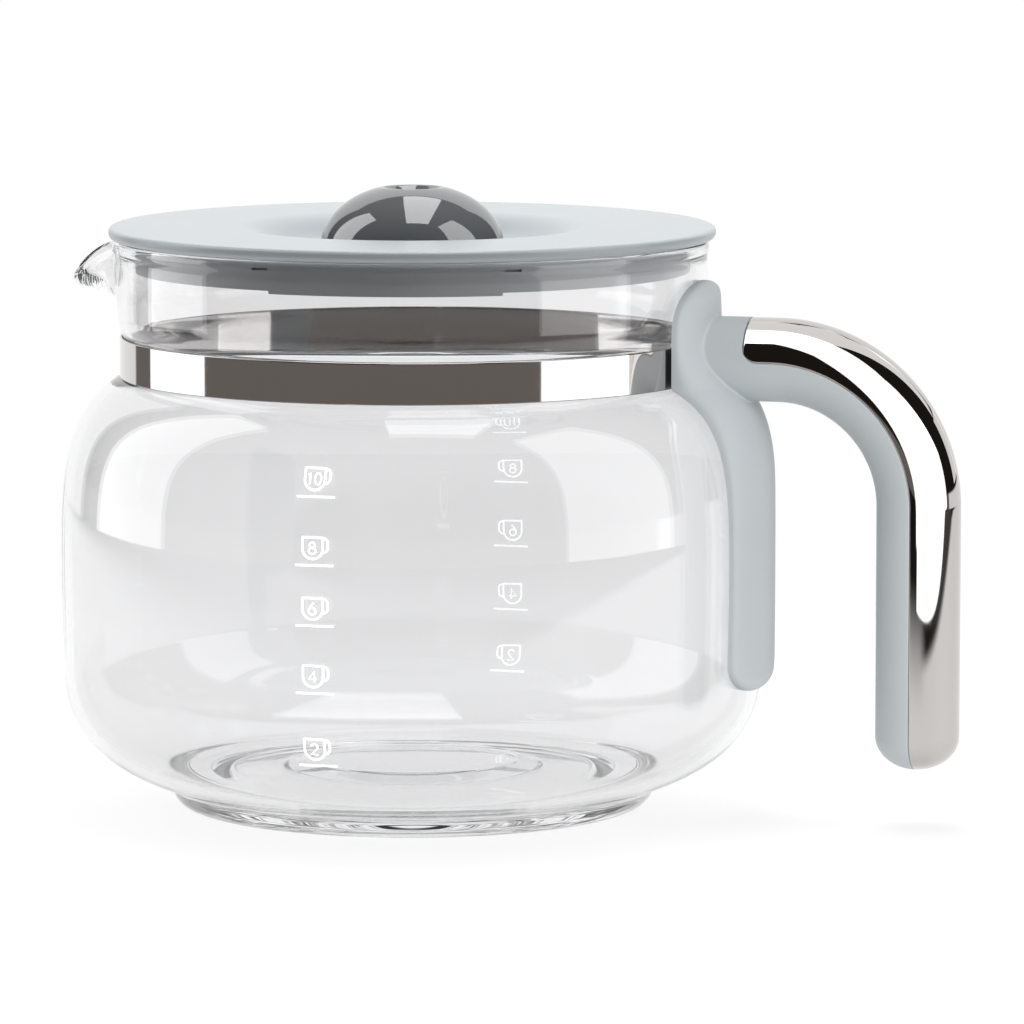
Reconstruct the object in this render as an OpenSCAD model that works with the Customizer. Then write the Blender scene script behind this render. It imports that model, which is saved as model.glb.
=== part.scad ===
// Glass coffee carafe: a blown jug with a pouring beak, a steel band clamped round its neck,
// a bracket with a hooked grip in two half shells, and a lid that lifts straight off.
// Lengths are in millimetres. The origin is the centre of the foot, +Z is up,
// +X points to the grip and the beak points to -X.

/* [Glass jug] */
// Widest diameter of the glass body
body_d = 159; // [145:1:180]
// Diameter of the neck, above the band
neck_d = 133; // [126:1:140]
// Height of the glass rim above the table
rim_h = 128.5; // [124:0.5:145]
// Height at which the body is widest
belly_h = 57; // [48:1:66]
// Height at which the shoulder meets the neck
shoulder_h = 97.2; // [92:0.1:100]
// Thickness of the blown wall
glass_wall = 2.2; // [1.6:0.1:2.8]
// Diameter of the foot where the body meets it
foot_d = 110; // [96:1:120]
// Height of the foot
foot_h = 4.8; // [3.6:0.1:6.5]
// Height of the raised disc under the base
kick_h = 6.2; // [5.2:0.1:8]

/* [Beak] */
// Width of the beak where it leaves the neck
beak_w = 50; // [36:1:64]
// Reach of the beak beyond the neck
beak_reach = 13.6; // [8:0.1:18]
// Drop of the lip below the rim
beak_drop = 9.6; // [5:0.1:11]

/* [Neck band] */
// Height of the steel band
band_h = 9.1; // [7:0.1:10]
// Thickness of the band strip
band_t = 0.5; // [0.3:0.05:0.7]
// Depth of the groove that the band lies in
groove_d = 1.1; // [0.9:0.1:1.5]

/* [Bracket] */
// Width of the bracket
bracket_w = 32.8; // [28:0.1:40]
// Thickness of the ear over the neck
ear_t = 3.8; // [3.4:0.1:5.5]
// Distance from the glass rim down to the top of the ear
ear_drop = 7.9; // [6:0.1:10]
// Thickness of the tail over the body
tail_t = 3.2; // [2.6:0.1:5]
// Height of the tail's lower end above the table
tail_z = 29.2; // [25:0.1:36]

/* [Grip] */
// Diameter of the round grip
grip_d = 18.8; // [17.6:0.1:22]
// Bend radius of the grip's centre line
bend_r = 32; // [26:0.5:35]
// Room for the fingers between the tail and the grip
finger_gap = 24.9; // [21:0.1:34]
// Height of the grip's axis above the middle of the band
grip_rise = 1.15; // [0:0.05:1.5]
// Height of the grip's lower end above the table
grip_end_z = 12.6; // [9:0.1:30]
// Thickness of the mirror cover
cover_t = 1.3; // [0.9:0.1:1.8]

/* [Clamp] */
// Thread diameter of the clamp screw
screw_d = 4; // [3:0.5:4.5]
// Diameter of the screw head
head_d = 7.2; // [6.4:0.1:7.6]
// Thickness of the clamp plate
plate_t = 1.2; // [0.9:0.1:1.3]
// Length of the clamp plate along the neck
plate_w = 19; // [16:0.5:22]

/* [Lid] */
// Overhang of the lid beyond the neck
lid_overhang = 1.9; // [1:0.1:4]
// Thickness of the lid plate
lid_t = 2.6; // [2.2:0.1:3.4]
// Diameter of the dish in the lid
dish_d = 81; // [70:1:92]
// Depth of the dish
dish_depth = 5.6; // [4.6:0.1:6.4]
// Diameter of the domed knob
knob_d = 41.7; // [37:0.1:46]
// Rise of the knob above the lid
knob_rise = 9.5; // [8:0.1:12]
// Diameter of the drip hole through the knob
drip_d = 5; // [4:0.1:6]
// Outside diameter of the lid ring
ring_d = 124.4; // [112:0.1:124.6]
// Depth of the lid ring below the plate
ring_h = 7.1; // [6:0.1:9]
// Lugs on the lid ring
lugs = 3; // [2:1:4]
// Width of each lug round the ring, in degrees
lug_angle = 47.6; // [30:0.1:60]
// Turn of the lid in the neck, in degrees
lid_turn = 41; // [0:1:90]

/* [Hidden] */
$fn = 96;

// Clearances
rest_gap = 0.3;
hug_gap = 0.3;
seat_gap = 0.05;
snap_gap = 0.1;
wrap_gap = 0.2;
over = 1;

// Radii and heights of the jug
body_r = body_d / 2;
neck_r = neck_d / 2;
foot_r = foot_d / 2;
groove_r = neck_r - groove_d;
bead_r = 1.5;
base_t = 2.8;
groove_edge = 0.4;
flare_h = 3;
band_z = shoulder_h + groove_edge + snap_gap;
band_top = band_z + band_h;
neck_z = band_top + flare_h;
bead_z = rim_h - bead_r;

// Smooth curve through two end points, drawn towards two guide points
function curve(a, b, c, d, n) = [for (i = [0:n])
    let (t = i / n, u = 1 - t)
    u * u * u * a + 3 * u * u * t * b + 3 * u * t * t * c + t * t * t * d];
function rest_of(list) = [for (i = [1:len(list) - 1]) list[i]];
function backwards(list) = [for (i = [len(list) - 1:-1:0]) list[i]];
function swapped(list) = [for (p = list) [p[1], p[0]]];

// The list moved sideways by a distance, to the left of its direction
function moved(list, gap) = [for (i = [0:len(list) - 1])
    let (a = list[max(i - 1, 0)], b = list[min(i + 1, len(list) - 1)], d = (b - a) / norm(b - a))
    list[i] + gap * [-d[1], d[0]]];

// Guide points of the glass outline, as shares of its radii and heights
low_guide_share = [[0.45, 0.07], [0.98, 0.176], [0.984, 0.52]];
side_guide_share = [[0.988, 0.67], [1, 0.83]];
shoulder_guide_share = [[1, 0.448], [0.946, 0.808]];
foot_guide_share = [[0.62, 0], [0.93, 0.5]];
foot_flat_share = [0.845, 0.91];
kick_share = [0.4, 0.5, 0.745];
floor_share = [0.445, 0.536, 0.8];
kick_step_share = 0.65;

function low_point(s) = [foot_r + s[0] * (body_r - foot_r), foot_h + s[1] * (belly_h - foot_h)];
function high_point(s) = [neck_r + s[0] * (body_r - neck_r), belly_h + s[1] * (shoulder_h - belly_h)];
flat_in = foot_flat_share[0] * foot_r;
flat_out = foot_flat_share[1] * foot_r;
function foot_point(s) = [flat_out + s[0] * (foot_r - flat_out), s[1] * foot_h];

foot_line = curve([flat_out, 0], foot_point(foot_guide_share[0]), foot_point(foot_guide_share[1]),
                  [foot_r, foot_h], 4);
low_line = curve([foot_r, foot_h], low_point(low_guide_share[0]), low_point(low_guide_share[1]),
                 low_point(low_guide_share[2]), 12);
side_line = curve(low_point(low_guide_share[2]), low_point(side_guide_share[0]),
                  low_point(side_guide_share[1]), [body_r, belly_h], 4);
shoulder_line = curve([body_r, belly_h], high_point(shoulder_guide_share[0]),
                      high_point(shoulder_guide_share[1]), [neck_r, shoulder_h], 14);
body_line = concat(low_line, rest_of(side_line), rest_of(shoulder_line));

// Base: a flat ring to stand on, a hollow inside it and a raised disc in the middle
kick_low = kick_step_share * kick_h;
under_line = [[0, kick_h], [kick_share[0] * foot_r, kick_h], [kick_share[1] * foot_r, kick_low],
              [kick_share[2] * foot_r, kick_low - rest_gap], [flat_in, 0]];
floor_line = [[0, kick_h + base_t], [floor_share[0] * foot_r, kick_h + base_t],
              [floor_share[1] * foot_r, kick_low + base_t],
              [floor_share[2] * foot_r, kick_low + base_t - rest_gap]];
groove_line = [[groove_r, band_z - snap_gap], [groove_r, band_top + snap_gap], [neck_r, neck_z]];
inner_body = moved(body_line, glass_wall);
inner_neck = [[groove_r - glass_wall, band_z], [groove_r - glass_wall, band_top + snap_gap],
              [neck_r - glass_wall, neck_z]];
jug_outline = concat(under_line, foot_line, rest_of(body_line), groove_line,
                     backwards(concat(inner_body, inner_neck)), backwards(floor_line));

// Upper neck: a straight wall with a round bead, and the same wall drawn out into a beak
wall_steps = 7;
bead_steps = 8;
neck_mid_r = neck_r - glass_wall / 2;
beak_guide_share = [[0, 0.27], [0.45, 0.2]];
beak_rise = bead_z - beak_drop - neck_z;
beak_end = [neck_r + beak_reach - bead_r, neck_z + beak_rise];
function beak_point(s) = [neck_r + s[0] * beak_reach, neck_z + s[1] * (rim_h - neck_z)];
beak_line = curve([neck_r, neck_z], beak_point(beak_guide_share[0]), beak_point(beak_guide_share[1]),
                  beak_end - [0, glass_wall / 2], wall_steps);
beak_way = beak_end - [0, glass_wall / 2] - beak_point(beak_guide_share[1]);
beak_tilt = atan2(beak_way[1], beak_way[0]);
beak_inner = moved(beak_line, glass_wall);
function bead(middle, tilt) = [for (i = [0:bead_steps])
    let (a = tilt - 115 + 230 * i / bead_steps) middle + bead_r * [cos(a), sin(a)]];
straight_line = [for (i = [0:wall_steps]) [neck_r, neck_z + (bead_z - bead_r - neck_z) * i / wall_steps]];
// The first and last point of a section sink into the wall below it
root_sink = 0.3;
root_share = 0.85;
function rooted(list) = let (n = len(list) - 1, m = (list[0] + list[n]) / 2) [for (i = [0:n])
    i == 0 || i == n ? m + root_share * (list[i] - m) - [0, root_sink] : list[i]];
straight_loop = rooted(concat(straight_line, bead([neck_mid_r, bead_z], 90),
                              backwards([for (p = straight_line) p - [glass_wall, 0]])));
beak_loop = rooted(concat(beak_line, bead(beak_end, beak_tilt), backwards(beak_inner)));

// Beak: each section is a mix of the straight wall and the beak, most beak in the middle
beak_half = asin(beak_w / 2 / neck_r);
beak_steps = 14;
droop_power_share = 1.6;
function beak_mix(a) = (1 + cos(180 * a / beak_half)) / 2;
function beak_section(a) = let (m = beak_mix(a), d = pow(m, droop_power_share))
    [for (i = [0:len(straight_loop) - 1])
        let (s = straight_loop[i], b = beak_loop[i], r = s[0] + m * (b[0] - s[0]))
        [-r * cos(a), -r * sin(a), s[1] + d * (b[1] - s[1])]];

// Solid through a row of closed sections: in each, the point j faces the point n - 1 - j across the wall
module loft(sections) {
    n = len(sections[0]);
    last = len(sections) - 1;
    half = floor((n - 1) / 2);
    points = [for (s = sections) for (p = s) p];
    sides = [for (i = [0:last - 1]) for (j = [0:n - 1])
        let (a = i * n + j, b = i * n + (j + 1) % n)
        each [[a, b + n, b], [a, a + n, b + n]]];
    cap = [for (j = [0:half - 1]) let (c = n - 2 - j)
        each (j + 1 < c ? [[j, j + 1, c], [j, c, c + 1]] : [[j, j + 1, j + 2]])];
    far_cap = [for (f = cap) [last * n + f[2], last * n + f[1], last * n + f[0]]];
    polyhedron(points, concat(cap, far_cap, sides));
}

module glass_jug() {
    color([0.86, 0.88, 0.89, 0.4]) {
        rotate_extrude() polygon(jug_outline);
        union() {
            rotate(beak_half - 180) rotate_extrude(angle = 360 - 2 * beak_half) polygon(straight_loop);
            loft([for (i = [0:beak_steps]) beak_section(beak_half * (1 - 2 * i / beak_steps))]);
        }
    }
}

// Neck band: a strip whose ends turn outwards and fold back over the clamp plate
band_in = groove_r + snap_gap;
band_out = band_in + band_t;
plate_in = band_in + snap_gap;
plate_out = plate_in + plate_t;
fold_in = plate_out + snap_gap;
fold_out = fold_in + band_t;
fold_w = 3.2;
end_angle = asin((plate_w / 2 + wrap_gap) / band_in);
strip_angle = asin(band_t / band_in);
fold_angle = asin(fold_w / fold_in);
module arc_bar(r_in, r_out, z, h, from, to) {
    rotate(from) rotate_extrude(angle = to - from) translate([r_in, z]) square([r_out - r_in, h]);
}
module under_fold(free_angle) {
    arc_bar(band_in - over, fold_in, band_z - over, band_h + 2 * over, free_angle - strip_angle, end_angle);
}
module neck_band() {
    free_angle = end_angle + strip_angle - fold_angle;
    back_angle = end_angle + strip_angle;
    color([0.72, 0.71, 0.69]) difference() {
        arc_bar(band_in, fold_out, band_z, band_h, free_angle, 360 - free_angle);
        arc_bar(band_out, fold_out + over, band_z - over, band_h + 2 * over, back_angle, 360 - back_angle);
        under_fold(free_angle);
        mirror([0, 1, 0]) under_fold(free_angle);
    }
}

// Clamp plate: a curved steel plate inside the folded ends, with a threaded boss
band_mid = band_z + band_h / 2;
plate_side = 0.5;
plate_h = band_h - 2 * plate_side;
plate_angle = asin(plate_w / 2 / band_in);
boss_d = 7;
pocket_out = fold_out + rest_gap;
wall_t = 1.8;
root_x = pocket_out + wall_t;
boss_end = root_x + plate_t;
module along_x(x, length, r) {
    translate([x, 0, 0]) rotate([0, 90, 0]) cylinder(h = length, r = r);
}
module clamp_plate() {
    color([0.6, 0.6, 0.61]) difference() {
        union() {
            arc_bar(plate_in, plate_out, band_z + plate_side, plate_h, -plate_angle, plate_angle);
            translate([0, 0, band_mid]) along_x(plate_in + plate_t / 2, boss_end - plate_in - plate_t / 2,
                                                boss_d / 2);
        }
        translate([0, 0, band_mid]) along_x(plate_in - over, boss_end - plate_in + 2 * over,
                                            screw_d / 2 + seat_gap);
    }
}

// Clamp screw: a pan head, a washer under it and a plain shank in place of the thread
head_h = 2.6;
washer_t = 0.8;
washer_d = head_d + 1.6;
shank_cover = 4.8;
seat_x = boss_end + shank_cover;
drive_w = 2.5;
drive_deep = 1.5;
module clamp_screw() {
    color([0.66, 0.66, 0.67]) translate([0, 0, band_mid]) difference() {
        union() {
            along_x(plate_in + plate_side, seat_x + washer_t - plate_in - plate_side, screw_d / 2);
            along_x(seat_x + washer_t, head_h, head_d / 2);
        }
        translate([seat_x + washer_t + head_h - drive_deep, 0, 0]) rotate([0, 90, 0])
            linear_extrude(drive_deep + over) circle(d = drive_w / cos(30), $fn = 6);
    }
}
module lock_washer() {
    color([0.7, 0.7, 0.71]) translate([0, 0, band_mid]) difference() {
        along_x(seat_x, washer_t, washer_d / 2);
        along_x(seat_x - over, washer_t + 2 * over, screw_d / 2 + snap_gap);
    }
}

// Bracket: a saddle that hugs the glass from the neck to the lower body
ear_top = rim_h - ear_drop;
ear_arch = 11;
tail_arch = 8;
ear_round = 3;
tail_round = 4;
edge_t = 0.8;
side_power_share = 2.5;
arch_power_share = 2.3;
ear_x = neck_r + hug_gap + ear_t;
tail_x = body_r + hug_gap + tail_t;
hug_guide_share = [[1, 0.5], [0.975, 0.845]];
back_guide_share = [0.31, 0.25];
back_span_share = [0.567, 0.85];
back_low = tail_z + back_span_share[0] * (neck_z - tail_z);
back_high = neck_z - (1 - back_span_share[1]) * band_h;
back_line = curve([tail_x, back_low], [tail_x, back_high - back_guide_share[1] * (back_high - back_low)],
                  [ear_x, back_low + (1 - back_guide_share[0]) * (back_high - back_low)],
                  [ear_x, back_high], 12);
back_radii = swapped(back_line);

// Radius of the bracket's inner face: it follows the glass, a little fuller over the shoulder
hug_line = concat(low_line, rest_of(side_line), rest_of(curve([body_r, belly_h], high_point(hug_guide_share[0]),
                  high_point(hug_guide_share[1]), [neck_r, shoulder_h + hug_gap], 14)));
hug_radii = swapped(hug_line);
function hug_r(z) = z > shoulder_h + hug_gap ? neck_r : lookup(z, hug_radii);

// Half width and thickness of the bracket at a height, both rounded off at the ends
function arch(q, power) = q >= 1 ? 1 : pow(max(0, 1 - pow(1 - q, power)), 1 / power);
function half_w(z) = bracket_w / 2 * arch((ear_top - z) / ear_arch, arch_power_share)
    * arch((z - tail_z) / tail_arch, arch_power_share);
function bulge(z) = let (t = lookup(z, back_radii) - hug_r(z) - hug_gap - edge_t)
    t * arch((ear_top - z) / ear_round, 2) * arch((z - tail_z) / tail_round, 2);
arch_steps = 7;
tail_heights = [for (i = [1:arch_steps]) tail_z + tail_arch * (1 - cos(90 * i / arch_steps))];
ear_heights = [for (i = [arch_steps:-1:1]) ear_top - ear_arch * (1 - cos(90 * i / arch_steps))];
mid_steps = 28;
mid_heights = [for (i = [1:mid_steps - 1])
    tail_z + tail_arch + (ear_top - ear_arch - tail_z - tail_arch) * pow(i / mid_steps, 0.8)];
side_steps = 14;
function bracket_section(z) = let (w = half_w(z), r = hug_r(z) + hug_gap, b = bulge(z))
    concat([for (i = [0:side_steps])
               let (s = sin(-90 + 180 * i / side_steps), y = w * s, x = sqrt(r * r - y * y),
                    full = pow(1 - pow(abs(s), side_power_share), 1 / side_power_share))
               [x + edge_t + b * full, y, z]],
           [for (i = [side_steps:-1:0])
               let (y = w * sin(-90 + 180 * i / side_steps)) [sqrt(r * r - y * y), y, z]]);

// Two keys on the end of the grip stop it from turning in the bracket
key_d = 2.5;
key_h = 1.5;
key_spread = 6.8;
grip_r = grip_d / 2;
grip_z = band_mid + grip_rise;
module key_pair(x, length, r) {
    for (side = [-1, 1])
        translate([0, 0, grip_z + side * key_spread]) along_x(x, length, r);
}
module handle_bracket() {
    color([0.72, 0.75, 0.77]) difference() {
        loft([for (z = concat(tail_heights, mid_heights, ear_heights)) bracket_section(z)]);
        translate([0, 0, grip_z]) along_x(root_x, grip_d, grip_r + seat_gap);
        translate([0, 0, band_mid]) along_x(neck_r, root_x, boss_d / 2 + wrap_gap);
        key_pair(root_x - key_h, key_h + over, key_d / 2 + snap_gap);
        arc_bar(neck_r - over, pocket_out, band_z - wrap_gap, band_h + 2 * wrap_gap,
                -end_angle - 2 * strip_angle, end_angle + 2 * strip_angle);
    }
}

// Grip: a round bar that runs out from the bracket, bends down and ends in a dome
leg_x = tail_x + finger_gap + grip_r;
bend_x = leg_x - bend_r;
bend_z = grip_z - bend_r;
dome_h = 7.5;
dome_z = grip_end_z + dome_h;
spine_r = grip_r - cover_t - snap_gap;
cover_x = root_x + grip_r;
corner_r = 3.5;
dome_steps = 8;
module dome(r, h) {
    rotate_extrude() polygon(concat([[0, 0]],
        [for (i = [0:dome_steps]) [r * cos(90 * i / dome_steps), -h * sin(90 * i / dome_steps)]]));
}
// The section's x axis points away from the centre of the bend
module bar(start) {
    translate([start, 0, grip_z]) rotate([0, 90, 0]) rotate(180)
        linear_extrude(bend_x - start) children();
    translate([bend_x, 0, bend_z]) rotate([90, 0, 0]) rotate_extrude(angle = 90)
        translate([bend_r, 0]) children();
    translate([leg_x, 0, dome_z]) linear_extrude(bend_z - dome_z) children();
}
module half_ring(r_in, r_out, shift) {
    intersection() {
        difference() {
            circle(r_out);
            circle(r_in);
        }
        translate([shift, -r_out]) square([r_out, 2 * r_out]);
    }
}
// The upper front of the bar is left to the bracket's side, with round lower corners
module corner_block(x) {
    translate([0, grip_r + over, 0]) rotate([90, 0, 0]) linear_extrude(grip_d + 2 * over) difference() {
        translate([x - over, grip_z - over]) square([corner_r + over, corner_r + over]);
        translate([x + corner_r, grip_z + corner_r]) circle(corner_r);
        translate([x, grip_z + corner_r]) square([corner_r + over, corner_r + over]);
    }
}
module cover_space(start, r_in, r_out, shift, h_in, h_out) {
    difference() {
        bar(start) half_ring(r_in, r_out, shift);
        corner_block(start);
    }
    translate([leg_x, 0, dome_z]) intersection() {
        difference() {
            dome(r_out, h_out);
            dome(r_in, h_in);
        }
        translate([shift, -r_out, -h_out]) cube([r_out, 2 * r_out, h_out]);
    }
}
module grip_core() {
    color([0.7, 0.73, 0.75]) difference() {
        union() {
            bar(root_x) circle(grip_r);
            translate([leg_x, 0, dome_z]) dome(grip_r, dome_h);
            key_pair(root_x - key_h + snap_gap, key_h, key_d / 2);
        }
        cover_space(cover_x, spine_r, grip_r + over, 0, dome_h - cover_t - snap_gap, dome_h + over);
        translate([0, 0, band_mid]) along_x(root_x - over, boss_end - root_x + over, boss_d / 2 + wrap_gap);
        translate([0, 0, band_mid]) along_x(root_x, seat_x - root_x, screw_d / 2 + wrap_gap);
        translate([0, 0, band_mid]) along_x(seat_x, bend_r + grip_d + finger_gap, washer_d / 2 + wrap_gap);
    }
}
module grip_cover() {
    color([0.8, 0.79, 0.78])
        cover_space(cover_x + seat_gap, spine_r + snap_gap, grip_r, seat_gap, dome_h - cover_t, dome_h);
}

// Lid plate: a flat disc with a dish round the knob and a rib that centres the ring
lid_z = rim_h + rest_gap;
lid_top = lid_z + lid_t;
lid_r = neck_r + lid_overhang;
dish_r = dish_d / 2;
dish_z = lid_top - dish_depth;
knob_r = knob_d / 2;
knob_h = knob_rise + dish_depth;
neck_hole_r = 0.74 * knob_r;
rib_w = 1.4;
rib_h = 1.6;
ring_t = 1.8;
ring_lip = 6;
ring_r = ring_d / 2;
rib_r = ring_r - ring_lip - snap_gap;
edge_round_share = [0.4, 0.5];
dish_guide_share = [0.45, 0.5];
dish_flat_r = knob_r + 0.16 * (dish_r - knob_r);
dish_line = curve([dish_r, lid_top], [dish_r - dish_guide_share[0] * (dish_r - dish_flat_r), lid_top],
                  [dish_flat_r + dish_guide_share[1] * (dish_r - dish_flat_r), dish_z],
                  [dish_flat_r, dish_z], 10);
plate_under = moved(dish_line, lid_t);
module lid_plate() {
    top_edge = edge_round_share[0] * lid_t;
    low_edge = edge_round_share[1] * lid_t;
    rim_top = curve([lid_r, lid_z + low_edge], [lid_r, lid_top - top_edge / 2], [lid_r - top_edge / 2, lid_top],
                    [lid_r - top_edge, lid_top], 5);
    rim_low = curve([lid_r - low_edge, lid_z], [lid_r - low_edge / 2, lid_z], [lid_r, lid_z + low_edge / 2],
                    [lid_r, lid_z + low_edge], 5);
    color([0.83, 0.86, 0.88]) rotate_extrude() polygon(concat(
        rim_low, rest_of(rim_top), dish_line, [[neck_hole_r, dish_z], [neck_hole_r, dish_z - lid_t]],
        backwards([for (p = plate_under) if (p[1] < lid_z - snap_gap) p]),
        [[rib_r - rib_w, lid_z], [rib_r - rib_w, lid_z - rib_h], [rib_r, lid_z - rib_h], [rib_r, lid_z]]));
}

// Lid ring: a thin skirt inside the neck with lugs that stand proud and reach lower
lug_out = 0.6;
lug_drop = 0.6;
top_relief = 0.2;
slot_w = 4;
slot_h = 1;
slot_z = 1.1;
slot_deep = 1.2;
slot_lead_share = 0.125;
ring_top = lid_z;
ring_z = lid_z - ring_h;
module lid_ring() {
    skirt_in = ring_r - ring_t;
    lug_r = ring_r + lug_out;
    lug_z = ring_z - lug_drop;
    slot_angle = asin(slot_w / ring_r);
    slot_lead = slot_lead_share * slot_angle;
    space_angle = 360 / lugs - lug_angle;
    color([0.62, 0.65, 0.67]) difference() {
        rotate_extrude() polygon([[ring_r - ring_lip, ring_top], [ring_r - ring_lip, ring_top - ring_t],
            [skirt_in, ring_top - ring_t], [skirt_in, lug_z], [lug_r, lug_z], [lug_r, ring_top - slot_z],
            [ring_r - top_relief, ring_top - slot_z], [ring_r - top_relief, ring_top]]);
        for (i = [0:lugs - 1]) rotate(lid_turn + 360 * i / lugs + lug_angle / 2) {
            rotate_extrude(angle = space_angle) polygon([[skirt_in - over, lug_z - over],
                [skirt_in - over, ring_z], [ring_r, ring_z], [ring_r, ring_top - slot_z / 2],
                [lug_r + over, ring_top - slot_z / 2], [lug_r + over, lug_z - over]]);
            for (from = [slot_lead, space_angle - slot_angle - slot_lead])
                arc_bar(ring_r - slot_deep, lug_r, ring_top - slot_z - slot_h, slot_h, from, from + slot_angle);
        }
    }
}

// Knob: a hollow dome with a dimple and a drip tube, on a collar that snaps into the plate
dome_t = 2;
dimple_r = 0.28 * knob_r;
dimple_round = 1.2;
dimple_deep = 1.8;
dimple_share = 0.8;
tube_r = drip_d / 2 + 1.7;
collar_t = 1.6;
collar_r = neck_hole_r - snap_gap;
barb = 0.5;
barb_h = 1.2;
dome_power_share = 2.1;
knob_steps = 14;

// Half outline of a dome, fuller than an ellipse, from the angle a to the angle b above its foot
function dome_line(r, h, a, b, n) = [for (i = [0:n]) let (t = a + (b - a) * i / n)
    [r * pow(cos(t), 2 / dome_power_share), dish_z + h * pow(sin(t), 2 / dome_power_share)]];
function dome_angle(x, r) = acos(pow(x / r, dome_power_share / 2));
module lid_knob() {
    crest_r = dimple_r + dimple_round;
    outside = dome_line(knob_r, knob_h, 0, dome_angle(crest_r, knob_r), knob_steps);
    crest = outside[knob_steps];
    hole_z = crest[1] - dimple_deep;
    dimple = curve(crest, crest - [dimple_round, 0], [dimple_share * dimple_r, hole_z], [drip_d / 2, hole_z], 6);
    inner_r = knob_r - dome_t;
    inside = dome_line(inner_r, knob_h - dome_t, dome_angle(tube_r, inner_r),
                       dome_angle(collar_r - collar_t, inner_r), knob_steps);
    collar_low = dish_z - lid_t - snap_gap - barb_h;
    color([0.55, 0.58, 0.6]) rotate_extrude() polygon(concat(
        outside, rest_of(dimple), [[drip_d / 2, dish_z], [tube_r, dish_z]], inside,
        [[collar_r - collar_t, collar_low], [collar_r, collar_low],
         [collar_r + barb + snap_gap, collar_low + barb_h], [collar_r, collar_low + barb_h],
         [collar_r, dish_z]]));
}

glass_jug();
neck_band();
clamp_plate();
clamp_screw();
lock_washer();
handle_bracket();
grip_core();
grip_cover();
lid_plate();
lid_ring();
lid_knob();
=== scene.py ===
"""Looks of a glass coffee carafe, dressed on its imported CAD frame.

Sizes are millimetres in the frame's own axes: the origin is the centre of the foot, +Z is up, +X
points to the grip and the beak points to -X. Meshes are scaled to metres as they are made.
"""

import logging
import math
from collections.abc import Mapping, Sequence
from dataclasses import dataclass
from enum import Enum

import bmesh
import bpy
import numpy as np
from mathutils import Matrix, Vector


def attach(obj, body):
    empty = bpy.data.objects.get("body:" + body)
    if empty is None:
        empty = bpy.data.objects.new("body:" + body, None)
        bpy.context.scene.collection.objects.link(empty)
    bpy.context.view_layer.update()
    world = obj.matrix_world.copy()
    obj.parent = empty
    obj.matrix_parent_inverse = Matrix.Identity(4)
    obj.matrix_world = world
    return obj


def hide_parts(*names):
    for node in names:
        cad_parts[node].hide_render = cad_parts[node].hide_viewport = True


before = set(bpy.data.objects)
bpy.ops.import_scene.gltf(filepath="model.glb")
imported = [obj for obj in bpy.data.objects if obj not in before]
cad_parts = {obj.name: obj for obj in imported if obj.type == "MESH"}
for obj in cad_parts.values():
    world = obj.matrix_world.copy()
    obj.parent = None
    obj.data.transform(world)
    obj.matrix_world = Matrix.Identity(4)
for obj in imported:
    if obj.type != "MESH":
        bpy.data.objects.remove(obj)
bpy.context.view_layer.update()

MM = 0.001
log = logging.getLogger("carafe")


class Body(Enum):
    """The CAD bodies that pieces ride on."""

    JUG = "jug"
    LID = "lid"


class Slot(Enum):
    """The record's material slots, one passed with each of the scene's own pieces."""

    GLASS = "clear_glass"
    BAND = "band_steel"
    GRIP = "grip_plastic"
    COVER = "cover_chrome"
    LID = "lid_plastic"
    KNOB = "knob_plastic"


# ---------------------------------------------------------------- outlines

ROUND_PULL = 0.5523  # share of the way to a corner at which a guide makes a true round
SHARP_PULL = 0.6  # the same for a sharp corner
SHARP_HALF = 0.6  # half of a corner's angle, in radians, up to which it is sharp
SIDE_SHARE = 0.49  # most of a side that one round takes


def bezier(a: Sequence[float], b: Sequence[float], c: Sequence[float], d: Sequence[float],
           steps: int) -> np.ndarray:
    """Points on a smooth curve.

    Args:
        a: Start of the curve.
        b: Guide point near the start.
        c: Guide point near the end.
        d: End of the curve.
        steps: Number of stretches between the points.

    Returns:
        The points, one row each.
    """
    t = np.linspace(0, 1, steps + 1)[:, None]
    u = 1 - t
    a, b, c, d = (np.asarray(p, float) for p in (a, b, c, d))
    return u**3 * a + 3 * u * u * t * b + 3 * u * t * t * c + t**3 * d


def line(a: Sequence[float], b: Sequence[float], steps: int) -> np.ndarray:
    """Evenly spaced points from a to b, both included."""
    t = np.linspace(0, 1, steps + 1)[:, None]
    return (1 - t) * np.asarray(a, float) + t * np.asarray(b, float)


def moved(points: np.ndarray, gap: float) -> np.ndarray:
    """The outline moved sideways, to the left of its direction.

    Args:
        points: The outline's points.
        gap: Distance to move it.

    Returns:
        As many points, each moved along its own normal.
    """
    ways = np.gradient(points, axis=0)
    ways /= np.linalg.norm(ways, axis=1)[:, None]
    return points + gap * np.stack([-ways[:, 1], ways[:, 0]], 1)


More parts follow.
